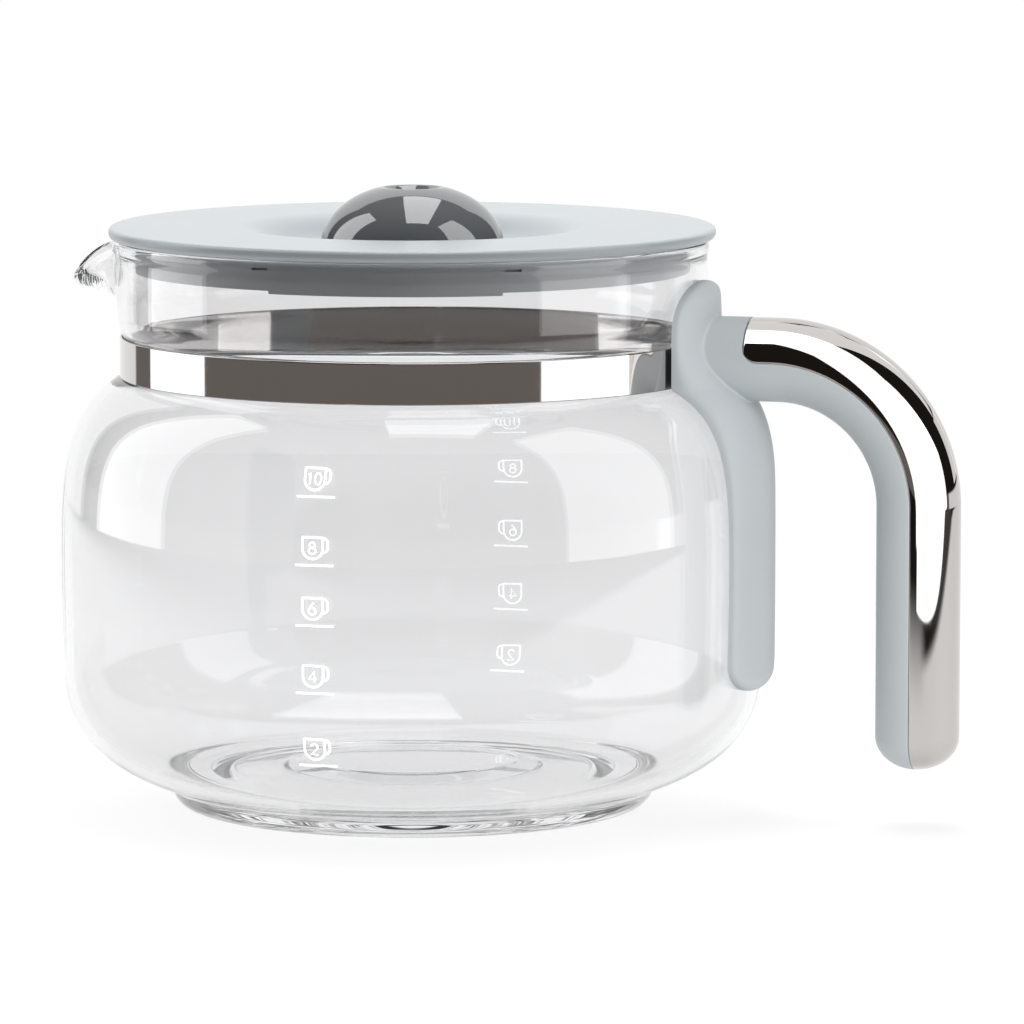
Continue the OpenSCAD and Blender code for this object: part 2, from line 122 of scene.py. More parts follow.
def rounded(corners: Sequence[tuple[float, float, float]], closed: bool = False,
            steps: int = 6) -> np.ndarray:
    """An outline with its corners rounded off.

    Args:
        corners: Points as (across, up, radius); a radius of 0 keeps the corner.
        closed: Whether the last point joins the first.
        steps: Stretches in each rounded corner.

    Returns:
        The points of the rounded outline.
    """
    out: list[np.ndarray] = []
    count = len(corners)
    for i, (x, y, radius) in enumerate(corners):
        here = np.array([x, y])
        if radius <= 0 or (not closed and i in (0, count - 1)):
            out.append(here[None])
            continue
        before = np.array(corners[i - 1][:2]) - here
        after = np.array(corners[(i + 1) % count][:2]) - here
        long_a, long_b = np.linalg.norm(before), np.linalg.norm(after)
        before, after = before / long_a, after / long_b
        half = math.acos(float(np.clip(before @ after, -1, 1))) / 2
        reach = min(radius / math.tan(half), SIDE_SHARE * long_a, SIDE_SHARE * long_b)
        start, end = here + reach * before, here + reach * after
        pull = ROUND_PULL if half > SHARP_HALF else SHARP_PULL
        guides = start + pull * (here - start), end + pull * (here - end)
        out.append(bezier(start, *guides, end, steps))
    return np.concatenate(out)


def softened(points: np.ndarray, weight: np.ndarray | float, passes: int = 2) -> np.ndarray:
    """The outline with small corners worn round.

    Args:
        points: The outline, along the last axis but one.
        weight: How much each point gives way, from 0 to 1.
        passes: How often it is worn.

    Returns:
        The softer outline with the same ends.
    """
    out = points.copy()
    share = np.broadcast_to(weight, points.shape[-2])[1:-1, None]
    for _ in range(passes):
        middle = (out[..., :-2, :] + out[..., 2:, :]) / 2
        out[..., 1:-1, :] += 0.5 * share * (middle - out[..., 1:-1, :])
    return out


def arch(q: np.ndarray | float, power: float) -> np.ndarray:
    """Rise from 0 to 1 as q goes from 0 to 1, round at the top."""
    return (1 - (1 - np.clip(q, 0, 1)) ** power) ** (1 / power)


def swept(radius: np.ndarray, turn: np.ndarray, height: np.ndarray) -> np.ndarray:
    """Points round the Z axis, from their radius, turn in radians and height."""
    radius, turn, height = np.broadcast_arrays(radius, turn, height)
    return np.stack([radius * np.cos(turn), radius * np.sin(turn), height], -1)


def gathered(row: np.ndarray) -> np.ndarray:
    """A row of as many points, all in the middle of this one, to close an end."""
    return np.broadcast_to(row.mean(1, keepdims=True), row.shape)


# ---------------------------------------------------------------- meshes


class MeshPiece:
    """One mesh object, gathered from grids of points in millimetres."""

    def __init__(self, name: str) -> None:
        """Starts an empty piece with this name."""
        self.name = name
        self._points: list[np.ndarray] = []
        self._faces: list[np.ndarray] = []
        self._count = 0

    def grid(self, rows: np.ndarray, wrap_rows: bool = False,
             wrap_points: bool = False) -> "MeshPiece":
        """Adds a surface through rows of points.

        Args:
            rows: Array of rows, points and x, y, z.
            wrap_rows: Whether the last row joins the first.
            wrap_points: Whether the last point of a row joins its first.

        Returns:
            The piece itself.
        """
        m, n = rows.shape[:2]
        spans = np.arange(m - (not wrap_rows)), np.arange(n - (not wrap_points))
        i, j = np.meshgrid(*spans, indexing="ij")
        ahead, beside = (i + 1) % m, (j + 1) % n
        corners = [i * n + j, ahead * n + j, ahead * n + beside, i * n + beside]
        self._faces.append(self._count + np.stack(corners, -1).reshape(-1, 4))
        self._points.append(rows.reshape(-1, 3))
        self._count += m * n
        return self

    def revolve(self, outline: np.ndarray, steps: int, closed: bool = False) -> "MeshPiece":
        """Adds the surface that an outline sweeps round the Z axis.

        Args:
            outline: Points as (radius, height).
            steps: Number of columns round the axis.
            closed: Whether the outline's last point joins its first.

        Returns:
            The piece itself.
        """
        turn = np.linspace(0, 2 * math.pi, steps, endpoint=False)[:, None]
        rows = swept(outline[:, 0], turn, outline[:, 1])
        return self.grid(rows, wrap_rows=True, wrap_points=closed)

    def make(self, finish: "Finish", body: Body, slot: Slot, replaces: Sequence[str] = (),
             sharp: float = 50) -> bpy.types.Object:
        """Makes the object and seats it on its body.

        Args:
            finish: The finish of the whole piece.
            body: The CAD body that the piece moves with.
            slot: The record's material slot; not used.
            replaces: CAD nodes that it stands for.
            sharp: Angle, in degrees, from which an edge shows.

        Returns:
            The finished object.
        """
        mesh = bpy.data.meshes.new(self.name)
        points, faces = np.concatenate(self._points) * MM, np.concatenate(self._faces)
        mesh.from_pydata(points.tolist(), [], faces.tolist())
        work = bmesh.new()
        work.from_mesh(mesh)
        bmesh.ops.remove_doubles(work, verts=work.verts, dist=1e-6)
        bmesh.ops.dissolve_degenerate(work, dist=1e-7, edges=work.edges)
        bmesh.ops.recalc_face_normals(work, faces=work.faces)
        work.to_mesh(mesh)
        work.free()
        mesh.shade_smooth()
        mesh.set_sharp_from_angle(angle=math.radians(sharp))
        mesh.materials.append(finish.material())
        piece = bpy.data.objects.new(self.name, mesh)
        bpy.context.scene.collection.objects.link(piece)
        even = piece.modifiers.new("even_normals", "WEIGHTED_NORMAL")
        even.keep_sharp = True
        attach(piece, body.value)
        if replaces:
            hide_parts(*replaces)
        log.info("%s: %d faces on %s", self.name, len(mesh.polygons), body.value)
        return piece


def dress(node: str, finish: "Finish") -> None:
    """Gives a carried-over CAD node its finish."""
    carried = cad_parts[node]
    carried.data.materials.clear()
    carried.data.materials.append(finish.material())
    log.info("%s: carried over from the CAD", node)


# ---------------------------------------------------------------- shader nodes


class Sock:
    """A number or vector in a node tree that takes plain arithmetic."""

    def __init__(self, nodes: "Nodes", socket: bpy.types.NodeSocket) -> None:
        """Wraps one output socket."""
        self.nodes = nodes
        self.socket = socket

    def _math(self, operation: str, *values: "Sock | float") -> "Sock":
        """A Math node over the values, in order."""
        return self.nodes.add("ShaderNodeMath", {"operation": operation},
                              dict(enumerate(values)))["Value"]

    def __add__(self, other: "Sock | float") -> "Sock":
        """Sum."""
        return self._math("ADD", self, other)

    __radd__ = __add__

    def __mul__(self, other: "Sock | float") -> "Sock":
        """Product."""
        return self._math("MULTIPLY", self, other)

    __rmul__ = __mul__

    def __sub__(self, other: "Sock | float") -> "Sock":
        """Difference."""
        return self._math("SUBTRACT", self, other)

    def __rsub__(self, other: "Sock | float") -> "Sock":
        """Difference from a plain number."""
        return self._math("SUBTRACT", other, self)

    def __truediv__(self, other: "Sock | float") -> "Sock":
        """Quotient."""
        return self._math("DIVIDE", self, other)

    def __rtruediv__(self, other: "Sock | float") -> "Sock":
        """A plain number divided by this one."""
        return self._math("DIVIDE", other, self)

    def atan2(self, other: "Sock") -> "Sock":
        """Angle of (other, self), in degrees."""
        return self._math("ARCTAN2", self, other) * math.degrees(1)

    def above(self, edge: float, soft: float = 1e-4) -> "Sock":
        """0 below the edge and 1 above it, over a soft stretch."""
        settings = {"interpolation_type": "SMOOTHSTEP"}
        inputs = {"Value": self, "From Min": edge - soft, "From Max": edge + soft,
                  "To Min": 0.0, "To Max": 1.0}
        return self.nodes.add("ShaderNodeMapRange", settings, inputs)["Result"]

    def between(self, low: float, high: float, soft: float = 1e-4) -> "Sock":
        """1 between two edges and 0 outside them."""
        return self.above(low, soft) * (1 - self.above(high, soft))

    def spread(self, low: float, high: float) -> "Sock":
        """The value from 0 to 1 carried over to low to high."""
        return self * (high - low) + low

    def dot(self, way: Sequence[float]) -> "Sock":
        """Part of a vector along a fixed way."""
        inputs = {0: self, 1: tuple(way)}
        return self.nodes.add("ShaderNodeVectorMath", {"operation": "DOT_PRODUCT"}, inputs)["Value"]

    def length(self) -> "Sock":
        """Length of a vector."""
        return self.nodes.add("ShaderNodeVectorMath", {"operation": "LENGTH"}, {0: self})["Value"]

    def times(self, scale: Sequence[float]) -> "Sock":
        """A vector with each part scaled."""
        inputs = {0: self, 1: tuple(scale)}
        return self.nodes.add("ShaderNodeVectorMath", {"operation": "MULTIPLY"}, inputs)["Vector"]


class Made:
    """A node that was added, read by the names of its outputs."""

    def __init__(self, nodes: "Nodes", node: bpy.types.Node) -> None:
        """Wraps the node."""
        self.nodes = nodes
        self.node = node

    def __getitem__(self, name: str) -> Sock:
        """The output of that name that is in use."""
        found = [s for s in self.node.outputs if s.name == name and s.enabled]
        return Sock(self.nodes, found[0])


class Nodes:
    """A node tree, with one way to add any node to it."""

    def __init__(self, tree: bpy.types.NodeTree) -> None:
        """Takes the tree and empties it."""
        tree.nodes.clear()
        self.tree = tree

    def add(self, kind: str, settings: Mapping[str, object] | None = None,
            inputs: Mapping[str | int, object] | None = None) -> Made:
        """Adds one node.

        Args:
            kind: Blender's type name of the node.
            settings: Properties, set before the inputs.
            inputs: Values or wrapped sockets, by input name or place.

        Returns:
            The node, ready to be read.
        """
        node = self.tree.nodes.new(kind)
        for name, value in (settings or {}).items():
            setattr(node, name, value)
        for key, value in (inputs or {}).items():
            if isinstance(key, int):
                socket = node.inputs[key]
            else:
                socket = [s for s in node.inputs if s.name == key and s.enabled][0]
            if isinstance(value, Sock):
                self.tree.links.new(value.socket, socket)
            else:
                socket.default_value = value
        return Made(self, node)

    def place(self) -> Sock:
        """The object's own coordinates, in metres."""
        return self.add("ShaderNodeTexCoord")["Object"]

    def noise(self, at: Sock, size_mm: float, detail: float = 2, roughness: float = 0.5) -> Sock:
        """Cloudy noise from 0 to 1.

        Args:
            at: Where it is read, in metres.
            size_mm: Size of its clouds.
            detail: Finer layers in it.
            roughness: Strength of the finer layers.

        Returns:
            The noise.
        """
        inputs = {"Vector": at, "Scale": 1 / (size_mm * MM), "Detail": detail,
                  "Roughness": roughness}
        return self.add("ShaderNodeTexNoise", {}, inputs)["Fac"]

    def blend(self, factor: Sock | float, a: Sequence[float] | Sock,
              b: Sequence[float] | Sock) -> Sock:
        """A colour between a and b."""
        a, b = (end if isinstance(end, Sock) else (*end, 1.0) for end in (a, b))
        settings = {"data_type": "RGBA", "clamp_factor": True}
        return self.add("ShaderNodeMix", settings, {"Factor": factor, "A": a, "B": b})["Result"]

    def bump(self, height: Sock, depth_mm: float) -> Sock:
        """A normal that stands for small relief of that real depth."""
        inputs = {"Strength": 1.0, "Distance": depth_mm * MM, "Height": height}
        return self.add("ShaderNodeBump", {}, inputs)["Normal"]

    def skin(self, inputs: Mapping[str | int, object]) -> Sock:
        """A Principled shader with these inputs."""
        return self.add("ShaderNodeBsdfPrincipled", {}, inputs)["BSDF"]


def toned(colour: Sequence[float], share: float) -> tuple[float, ...]:
    """The colour with each part scaled, and none above 1."""
    return tuple(min(1, c * share) for c in colour)


@dataclass(frozen=True)
class Finish:
    """What every finish has: a name, and one material made on first use."""

    name: str

    def shade(self, nodes: Nodes) -> Sock:
        """The finish's shader; each finish has its own."""
        raise NotImplementedError

    def material(self) -> bpy.types.Material:
        """The finish's material, made once."""
        found = bpy.data.materials.get(self.name)
        if found is not None:
            return found
        made = bpy.data.materials.new(self.name)
        made.use_nodes = True
        nodes = Nodes(made.node_tree)
        nodes.add("ShaderNodeOutputMaterial", {}, {"Surface": self.shade(nodes)})
        return made


@dataclass(frozen=True)
class MouldedPlastic(Finish):
    """Injection moulded plastic, from satin to gloss.

    Args:
        colour: Linear base colour.
        roughness: Mean roughness.
        grain_mm: Size of the mould's fine grain.
        grain_depth_mm: Depth of that grain.
        cloud: Share by which the colour varies in slow clouds.
        ior: Refractive index; a dense glossy skin has a high one.
    """

    colour: tuple[float, float, float]
    roughness: float
    grain_mm: float = 0.35
    grain_depth_mm: float = 0.004
    cloud: float = 0.035
    ior: float = 1.5

    def shade(self, nodes: Nodes) -> Sock:
        """Slow clouds in the colour, flow marks in the gloss and a fine grain in relief."""
        place = nodes.place()
        clouds = nodes.noise(place, 28, 3)
        flow = nodes.noise(place.times((1, 1, 0.25)), 6, 4, 0.6)
        grain = nodes.noise(place, self.grain_mm, 2, 0.6)
        dark, pale = toned(self.colour, 1 - self.cloud), toned(self.colour, 1 + self.cloud)
        tone = nodes.blend(0.7 * clouds + 0.3 * flow, dark, pale)
        rough = (0.5 * flow + 0.5 * grain).spread(self.roughness * 0.88, self.roughness * 1.12)
        return nodes.skin({
            "Base Color": tone, "Roughness": rough, "IOR": self.ior,
            "Normal": nodes.bump(grain + 0.6 * flow, self.grain_depth_mm),
        })


@dataclass(frozen=True)
class PolishedMetal(Finish):
    """Polished or brushed metal with lines that run one way.

    Args:
        colour: Linear colour of its reflections.
        roughness: Mean roughness.
        brush_scale: How the lines are stretched along X, Y and Z.
        brush_mm: Width of the lines.
        brush_depth_mm: Depth of the lines.
        smudge: Share by which soft smudges change the roughness.
    """

    colour: tuple[float, float, float]
    roughness: float
    brush_scale: tuple[float, float, float] = (1, 1, 0.03)
    brush_mm: float = 0.15
    brush_depth_mm: float = 0.0004
    smudge: float = 0.3

    def shade(self, nodes: Nodes) -> Sock:
        """Fine lines in relief, soft smudges in the gloss and a slight change of tone."""
        place = nodes.place()
        lines = nodes.noise(place.times(self.brush_scale), self.brush_mm, 3, 0.6)
        smudges = nodes.noise(place, 14, 3, 0.55)
        tone = nodes.blend(0.5 * lines + 0.5 * smudges, toned(self.colour, 0.97), self.colour)
        rough = (0.6 * smudges + 0.4 * lines).spread(self.roughness * (1 - self.smudge),
                                                     self.roughness * (1 + self.smudge))
        return nodes.skin({
            "Base Color": tone, "Metallic": 1.0, "Roughness": rough,
            "Normal": nodes.bump(lines, self.brush_depth_mm),
        })


@dataclass(frozen=True)
class ClearGlass(Finish):
    """Blown clear glass with the slow waves of its mould.

    Args:
        tint: Linear colour of light that passes a wall.
        ior: Refractive index.
        wave_mm: Length of the waves.
        wave_depth_mm: Height of the waves.
    """

    tint: tuple[float, float, float]
    ior: float = 1.5
    wave_mm: float = 22
    wave_depth_mm: float = 0.02

    def shade(self, nodes: Nodes) -> Sock:
        """Slow waves and faint smears, and a tint that drifts a little."""
        place = nodes.place()
        waves = nodes.noise(place.times((1, 1, 0.6)), self.wave_mm, 1, 0.4)
        smears = nodes.noise(place.times((1, 1, 0.2)), 9, 3, 0.6)
        return nodes.skin({
            "Base Color": nodes.blend(waves, self.tint, toned(self.tint, 1.008)),
            "Roughness": smears.spread(0.0, 0.012), "IOR": self.ior, "Transmission Weight": 1.0,
            "Normal": nodes.bump(waves, self.wave_depth_mm),
        })


@dataclass(frozen=True)
class Enamel(Finish):
    """Fired white enamel of the printed marks, with a painted glow in place of light shining
    through the print.

    Args:
        colour: Linear base colour, also the colour of its painted glow.
        roughness: Mean roughness.
    """

    colour: tuple[float, float, float]
    roughness: float = 0.35

    def shade(self, nodes: Nodes) -> Sock:
        """Thin and thick patches of print with a fine tooth, and a painted glow of the print's own
        colour.
        """
        place = nodes.place()
        patches = nodes.noise(place, 0.5, 2)
        tooth = nodes.noise(place, 0.08, 1)
        return nodes.skin({
            "Base Color": nodes.blend(patches, toned(self.colour, 0.94), self.colour),
            "Roughness": tooth.spread(self.roughness * 0.8, self.roughness * 1.2),
            # Painted light: the print glows at its own colour, in place of light shining through it
            # from behind.
            "Emission Color": (*self.colour, 1.0), "Emission Strength": 1.0,
            "Normal": nodes.bump(tooth, 0.006),
        })


GLASS = ClearGlass("clear_blown_glass", (0.90, 0.90, 0.906))
WHITE_ENAMEL_PAINTED_GLOW = Enamel("white_enamel", (0.9, 0.9, 0.9))
BAND_STEEL = PolishedMetal("mirror_steel", (0.60, 0.585, 0.57), 0.05, (1, 1, 12), 1.2, 0.0003)
SCREW_STEEL = PolishedMetal("plated_steel", (0.62, 0.62, 0.63), 0.32, (1, 1, 1), 0.4, 0.004)
COVER_CHROME = PolishedMetal("grip_chrome", (0.585, 0.56, 0.545), 0.03, (1, 1, 0.05), 0.4, 0.0002)
GRIP_PLASTIC = MouldedPlastic("satin_grip_plastic", (0.455, 0.485, 0.50), 0.5)
# Painted shade: the lid's colour is set darker than its pale plastic so that the rim and dish read
# shaded; the strong lid_light lamp brings the top back up.
LID_PLASTIC_PAINTED_SHADE = MouldedPlastic("satin_lid_plastic", (0.4, 0.432, 0.45), 0.3)
# Painted light: the ring's colour is set lighter than its mid grey plastic to make up for the
# little light it gets in the shade of the lid.
RING_PLASTIC_PAINTED_LIGHT = MouldedPlastic("satin_ring_plastic", (0.5, 0.525, 0.54), 0.35)
KNOB_PLASTIC = MouldedPlastic("gloss_knob_plastic", (0.115, 0.122, 0.126), 0.04, 0.5, 0.0005, 0.03,
                              ior=2.3)


# ---------------------------------------------------------------- the jug


@dataclass(frozen=True)
class JugSizes:
    """Radii, heights and thicknesses of the glass, in millimetres."""

    body_r: float = 79.5
    neck_r: float = 66.5
    groove_r: float = 65.4
    foot_r: float = 55.0
    foot_h: float = 4.8
    kick_h: float = 6.2
    base_t: float = 2.8
    belly_z: float = 57.0
    shoulder_z: float = 97.2
    groove_low: float = 97.6
    groove_high: float = 106.9
    neck_z: float = 109.8
    rim_z: float = 128.5
    wall: float = 2.2
    bead_r: float = 1.5
    beak_w: float = 50.0
    beak_reach: float = 13.6
    beak_drop: float = 9.6
    beak_ease: float = 1.6
    foot_flat: tuple[float, float] = (46.475, 50.05)
    step_share: float = 0.65
    step_fall: float = 0.3


class GlassJug:
    """The blown glass: its outline, its beak and the cup marks printed on it."""

    fine_half = 24  # degrees to each side of the beak that have fine columns
    fine_columns, other_columns = 49, 181

    def __init__(self, sizes: JugSizes = JugSizes()) -> None:
        """Takes the sizes and works out the outline of the body."""
        self.sizes = sizes
        self.body_line = self._body_line()

    def low_point(self, across: float, up: float) -> tuple[float, float]:
        """A point of the lower body, from shares of its reach and height."""
        s = self.sizes
        return s.foot_r + across * (s.body_r - s.foot_r), s.foot_h + up * (s.belly_z - s.foot_h)

    def high_point(self, across: float, up: float) -> tuple[float, float]:
        """A point of the shoulder, from shares of its reach and height."""
        s = self.sizes
        rise = s.shoulder_z - s.belly_z
        return s.neck_r + across * (s.body_r - s.neck_r), s.belly_z + up * rise

    def _body_line(self) -> np.ndarray:
        """Outside of the glass from the foot to the neck."""
        s = self.sizes
        seam = self.low_point(0.984, 0.52)
        low = bezier((s.foot_r, s.foot_h), self.low_point(0.45, 0.07), self.low_point(0.98, 0.176),
                     seam, 44)
        side = bezier(seam, self.low_point(0.988, 0.67), self.low_point(1, 0.83),
                      (s.body_r, s.belly_z), 14)
        shoulder = bezier((s.body_r, s.belly_z), self.high_point(1, 0.448),
                          self.high_point(0.946, 0.808), (s.neck_r, s.shoulder_z), 46)
        return np.concatenate([low, side[1:], shoulder[1:]])

    def _bead(self, middle: tuple[float, float], tilt: float) -> np.ndarray:
        """The round bead of the rim, centred on a point and tilted, in degrees."""
        turn = np.radians(tilt + np.linspace(-115, 115, 21))
        return np.asarray(middle) + self.sizes.bead_r * np.stack([np.cos(turn), np.sin(turn)], 1)

    def _upper_loops(self) -> tuple[np.ndarray, np.ndarray]:
        """The upper neck twice with as many points: straight, and drawn out into the beak."""
        s = self.sizes
        bead_z, mid_r = s.rim_z - s.bead_r, s.neck_r - s.wall / 2
        steps = 16
        straight = line((s.neck_r, s.neck_z), (s.neck_r, bead_z - s.bead_r), steps)
        plain = np.concatenate([straight, self._bead((mid_r, bead_z), 90),
                                straight[::-1] - (s.wall, 0)])
        end = np.array([s.neck_r + s.beak_reach - s.bead_r, bead_z - s.beak_drop])
        upper_h = s.rim_z - s.neck_z
        guide_a = (s.neck_r, s.neck_z + 0.27 * upper_h)
        guide_b = np.array([s.neck_r + 0.45 * s.beak_reach, s.neck_z + 0.2 * upper_h])
        last = end - (0, s.wall / 2)
        out = bezier((s.neck_r, s.neck_z), guide_a, guide_b, last, steps)
        way = last - guide_b
        tilt = math.degrees(math.atan2(way[1], way[0]))
        drawn = np.concatenate([out, self._bead(tuple(end), tilt), moved(out, s.wall)[::-1]])
        return plain, drawn

    def _base_lines(self) -> tuple[np.ndarray, np.ndarray]:
        """Underside and inner floor, both from the axis outwards."""
        s = self.sizes
        step_z = s.step_share * s.kick_h
        kick_top, step_top = s.kick_h + s.base_t, step_z + s.base_t
        under = rounded([(0, s.kick_h, 0), (0.4 * s.foot_r, s.kick_h, 3),
                         (0.5 * s.foot_r, step_z, 3), (0.745 * s.foot_r, step_z - s.step_fall, 3),
                         (s.foot_flat[0], 0, 0.8), (s.foot_flat[1], 0, 0)], steps=8)
        floor = rounded([(0, kick_top, 0), (0.445 * s.foot_r, kick_top, 3),
                         (0.536 * s.foot_r, step_top, 3),
                         (0.8 * s.foot_r, step_top - s.step_fall, 0)], steps=8)
        return under, floor

    def sections(self, turns: np.ndarray) -> np.ndarray:
        """The whole outline, from the axis below to the axis above the floor, at each turn.

        Args:
            turns: Angles from the beak, in radians.

        Returns:
            Array of turns, points and (radius, height).
        """
        s = self.sizes
        under, floor = self._base_lines()
        flat_r, foot_span = s.foot_flat[1], s.foot_r - s.foot_flat[1]
        foot = bezier((flat_r, 0), (flat_r + 0.62 * foot_span, 0),
                      (flat_r + 0.93 * foot_span, s.foot_h / 2), (s.foot_r, s.foot_h), 10)
        groove = rounded([(s.neck_r, s.shoulder_z, 0), (s.groove_r, s.groove_low, 0.2),
                          (s.groove_r, s.groove_high, 0.6), (s.neck_r, s.neck_z, 0)], steps=5)
        inner_r = s.groove_r - s.wall
        throat = rounded([(inner_r + 0.5, s.shoulder_z - 0.6, 0),
                          (inner_r, s.groove_low + 1.2, 1.5), (inner_r, s.groove_high, 2),
                          (s.neck_r - s.wall, s.neck_z, 0)], steps=5)
        inner = np.concatenate([moved(self.body_line, s.wall)[:-1], throat])
        plain, drawn = self._upper_loops()
        lower = np.concatenate([under, foot[1:], self.body_line[1:], groove[1:-1]])
        back = np.concatenate([inner[::-1][1:], floor[::-1]])
        half = math.asin(s.beak_w / 2 / s.neck_r)
        share = np.where(np.abs(turns) < half, (1 + np.cos(math.pi * turns / half)) / 2, 0)[:, None]
        upper = np.stack([plain[:, 0] + share * (drawn[:, 0] - plain[:, 0]),
                          plain[:, 1] + share**s.beak_ease * (drawn[:, 1] - plain[:, 1])], -1)
        each = (len(turns), 1, 1)
        full = np.concatenate([np.tile(lower, each), upper, np.tile(back, each)], 1)
        weight = np.ones(full.shape[1])
        groove_from = len(under) + len(foot) + len(self.body_line) - 4
        weight[groove_from:groove_from + len(groove)] = 0
        return softened(full, weight, 3)

    def radius_at(self, height: np.ndarray) -> np.ndarray:
        """Outer radius of the body at a height."""
        return np.interp(height, self.body_line[:, 1], self.body_line[:, 0])

    def build(self) -> None:
        """Makes the glass and its two rows of marks."""
        half = self.fine_half
        near = np.radians(np.linspace(-half, half, self.fine_columns))
        rest = np.radians(np.linspace(half, 360 - half, self.other_columns))[1:-1]
        turns = np.concatenate([near, rest])
        wrapped = (turns + math.pi) % (2 * math.pi) - math.pi
        outline = self.sections(wrapped)
        rows = swept(-outline[..., 0], turns[:, None], outline[..., 1])
        glass = MeshPiece("blown_glass").grid(rows, wrap_rows=True).make(
            GLASS, Body.JUG, Slot.GLASS, ["glass_jug"], sharp=60)
        glass.visible_shadow = False
        CupMarks(self).build()


@dataclass(frozen=True)
class MarkRow:
    """One printed row of marks.

    Args:
        name: Name of its piece.
        facing: Its direction round the jug, in degrees.
        heights: Heights of its lines, in millimetres.
        weight: Share of the full stroke that it is printed with.
    """

    name: str
    facing: float
    heights: tuple[float, ...]
    weight: float


@dataclass(frozen=True)
class MarkSizes:
    """Rows and widths of the printed marks, in millimetres."""

    rows: tuple[MarkRow, ...] = (
        MarkRow("front_cup_marks", -88.8, (20, 36.2, 51, 64.2, 79), 0.9),
        MarkRow("rear_cup_marks", 89.4, (19.2, 33.9, 48.9, 64.6, 80), 0.75),
    )
    cups: tuple[int, ...] = (2, 4, 6, 8, 10)
    half_line: float = 4.3
    stroke: float = 0.55
    digit_stroke: float = 0.45
    proud: float = 0.04
    sunk: float = 0.02


class CupMarks:
    """Rows of small cups with plain numbers over a line, on the front and the back of the glass."""

    def __init__(self, jug: GlassJug, sizes: MarkSizes = MarkSizes()) -> None:
        """Takes the glass that carries the marks."""
        self.jug = jug
        self.sizes = sizes

    @staticmethod
    def _oval(x: float, y: float, rx: float, ry: float, start: float = 0,
              end: float = 360) -> np.ndarray:
        """Points on an oval from one angle to another, in degrees."""
        turn = np.radians(np.linspace(start, end, 25))
        return np.stack([x + rx * np.cos(turn), y + ry * np.sin(turn)], 1)

    def _cup(self) -> list[np.ndarray]:
        """Outline of the cup and its handle."""
        wall = rounded([(-0.4, 6.05, 0), (-2.65, 6.1, 0.15), (-2.7, 1.45, 2.5), (1.85, 1.35, 2.4),
                        (1.9, 6.0, 0.15), (-0.4, 6.05, 0)], steps=10)
        ear = rounded([(1.85, 5.95, 0), (3.05, 5.6, 0.9), (3.0, 3.1, 0.9), (1.6, 2.75, 0)], steps=8)
        return [wall, ear]

    def _digits(self, number: int) -> list[np.ndarray]:
        """Strokes of a plain number inside the cup."""
        x, y = -0.45, 3.75
        if number == 10:
            one = np.array([(-1.95, 4.65), (-1.5, 5.0), (-1.5, 2.6)])
            return [one, self._oval(0.3, 3.8, 0.7, 1.2)]
        if number == 2:
            top = self._oval(x, y + 0.55, 0.72, 0.68, 165, -35)
            return [np.concatenate([top, [(x - 0.78, y - 1.2), (x + 0.8, y - 1.2)]])]
        if number == 4:
            return [np.array([(x + 0.35, y - 1.25), (x + 0.35, y + 1.2), (x - 0.9, y - 0.6),
                              (x + 0.85, y - 0.6)])]
        if number == 6:
            tail = bezier((x + 0.35, y + 1.3), (x - 0.2, y + 0.9), (x - 0.8, y + 0.2),
                          (x - 0.78, y - 0.5), 12)
            return [tail, self._oval(x, y - 0.5, 0.78, 0.75)]
        return [self._oval(x, y + 0.62, 0.6, 0.58), self._oval(x, y - 0.58, 0.78, 0.7)]

    def _ribbon(self, piece: MeshPiece, stroke: np.ndarray, width: float, base: float,
                facing: float) -> None:
        """Adds one stroke as a thin ribbon that lies on the glass.

        Args:
            piece: The mesh that it joins.
            stroke: Points as (along the glass, up from the line).
            width: Width of the stroke.
            base: Height of the mark's line.
            facing: Direction of the mark round the jug, in degrees.
        """
        ways = np.gradient(stroke, axis=0)
        ways /= np.maximum(np.linalg.norm(ways, axis=1), 1e-9)[:, None]
        closed = np.allclose(stroke[0], stroke[-1])
        if closed:
            joined = ways[0] + ways[-1]
            ways[0] = ways[-1] = joined / np.linalg.norm(joined)
        side = width / 2 * np.stack([-ways[:, 1], ways[:, 0]], 1)
        flat = np.stack([stroke - side, stroke + side, stroke + side, stroke - side], 1)
        if not closed:
            first, last = (np.repeat(end[:, None], 4, 1) for end in (stroke[:1], stroke[-1:]))
            flat = np.concatenate([first, flat, last])
        s = self.sizes
        height = base + flat[..., 1]
        glass_r = self.jug.radius_at(height)
        turn = math.radians(facing) + flat[..., 0] / glass_r
        lift = np.array([s.proud, s.proud, -s.sunk, -s.sunk])
        piece.grid(swept(glass_r + lift, turn, height), wrap_points=True)

    def build(self) -> None:
        """Prints both rows as one piece each."""
        s = self.sizes
        rule = line((-s.half_line, 0), (s.half_line, 0), 12)
        for row in s.rows:
            piece = MeshPiece(row.name)
            for height, cups in zip(row.heights, s.cups):
                for stroke in (rule, *self._cup()):
                    self._ribbon(piece, stroke, s.stroke * row.weight, height, row.facing)
                for stroke in self._digits(cups):
                    self._ribbon(piece, stroke, s.digit_stroke * row.weight, height, row.facing)
            piece.make(WHITE_ENAMEL_PAINTED_GLOW, Body.JUG, Slot.GLASS)


# ---------------------------------------------------------------- band and clamp


@dataclass(frozen=True)
class BandSizes:
    """Sizes of the neck band, in millimetres and degrees."""

    inner_r: float = 65.5
    thick: float = 0.5
    low_z: float = 97.7
    high_z: float = 106.8
    edge: float = 0.2
    fold_r: float = 67.15
    joggle_at: float = 8.74
    joggle_half: float = 0.35
    free_at: float = 6.2


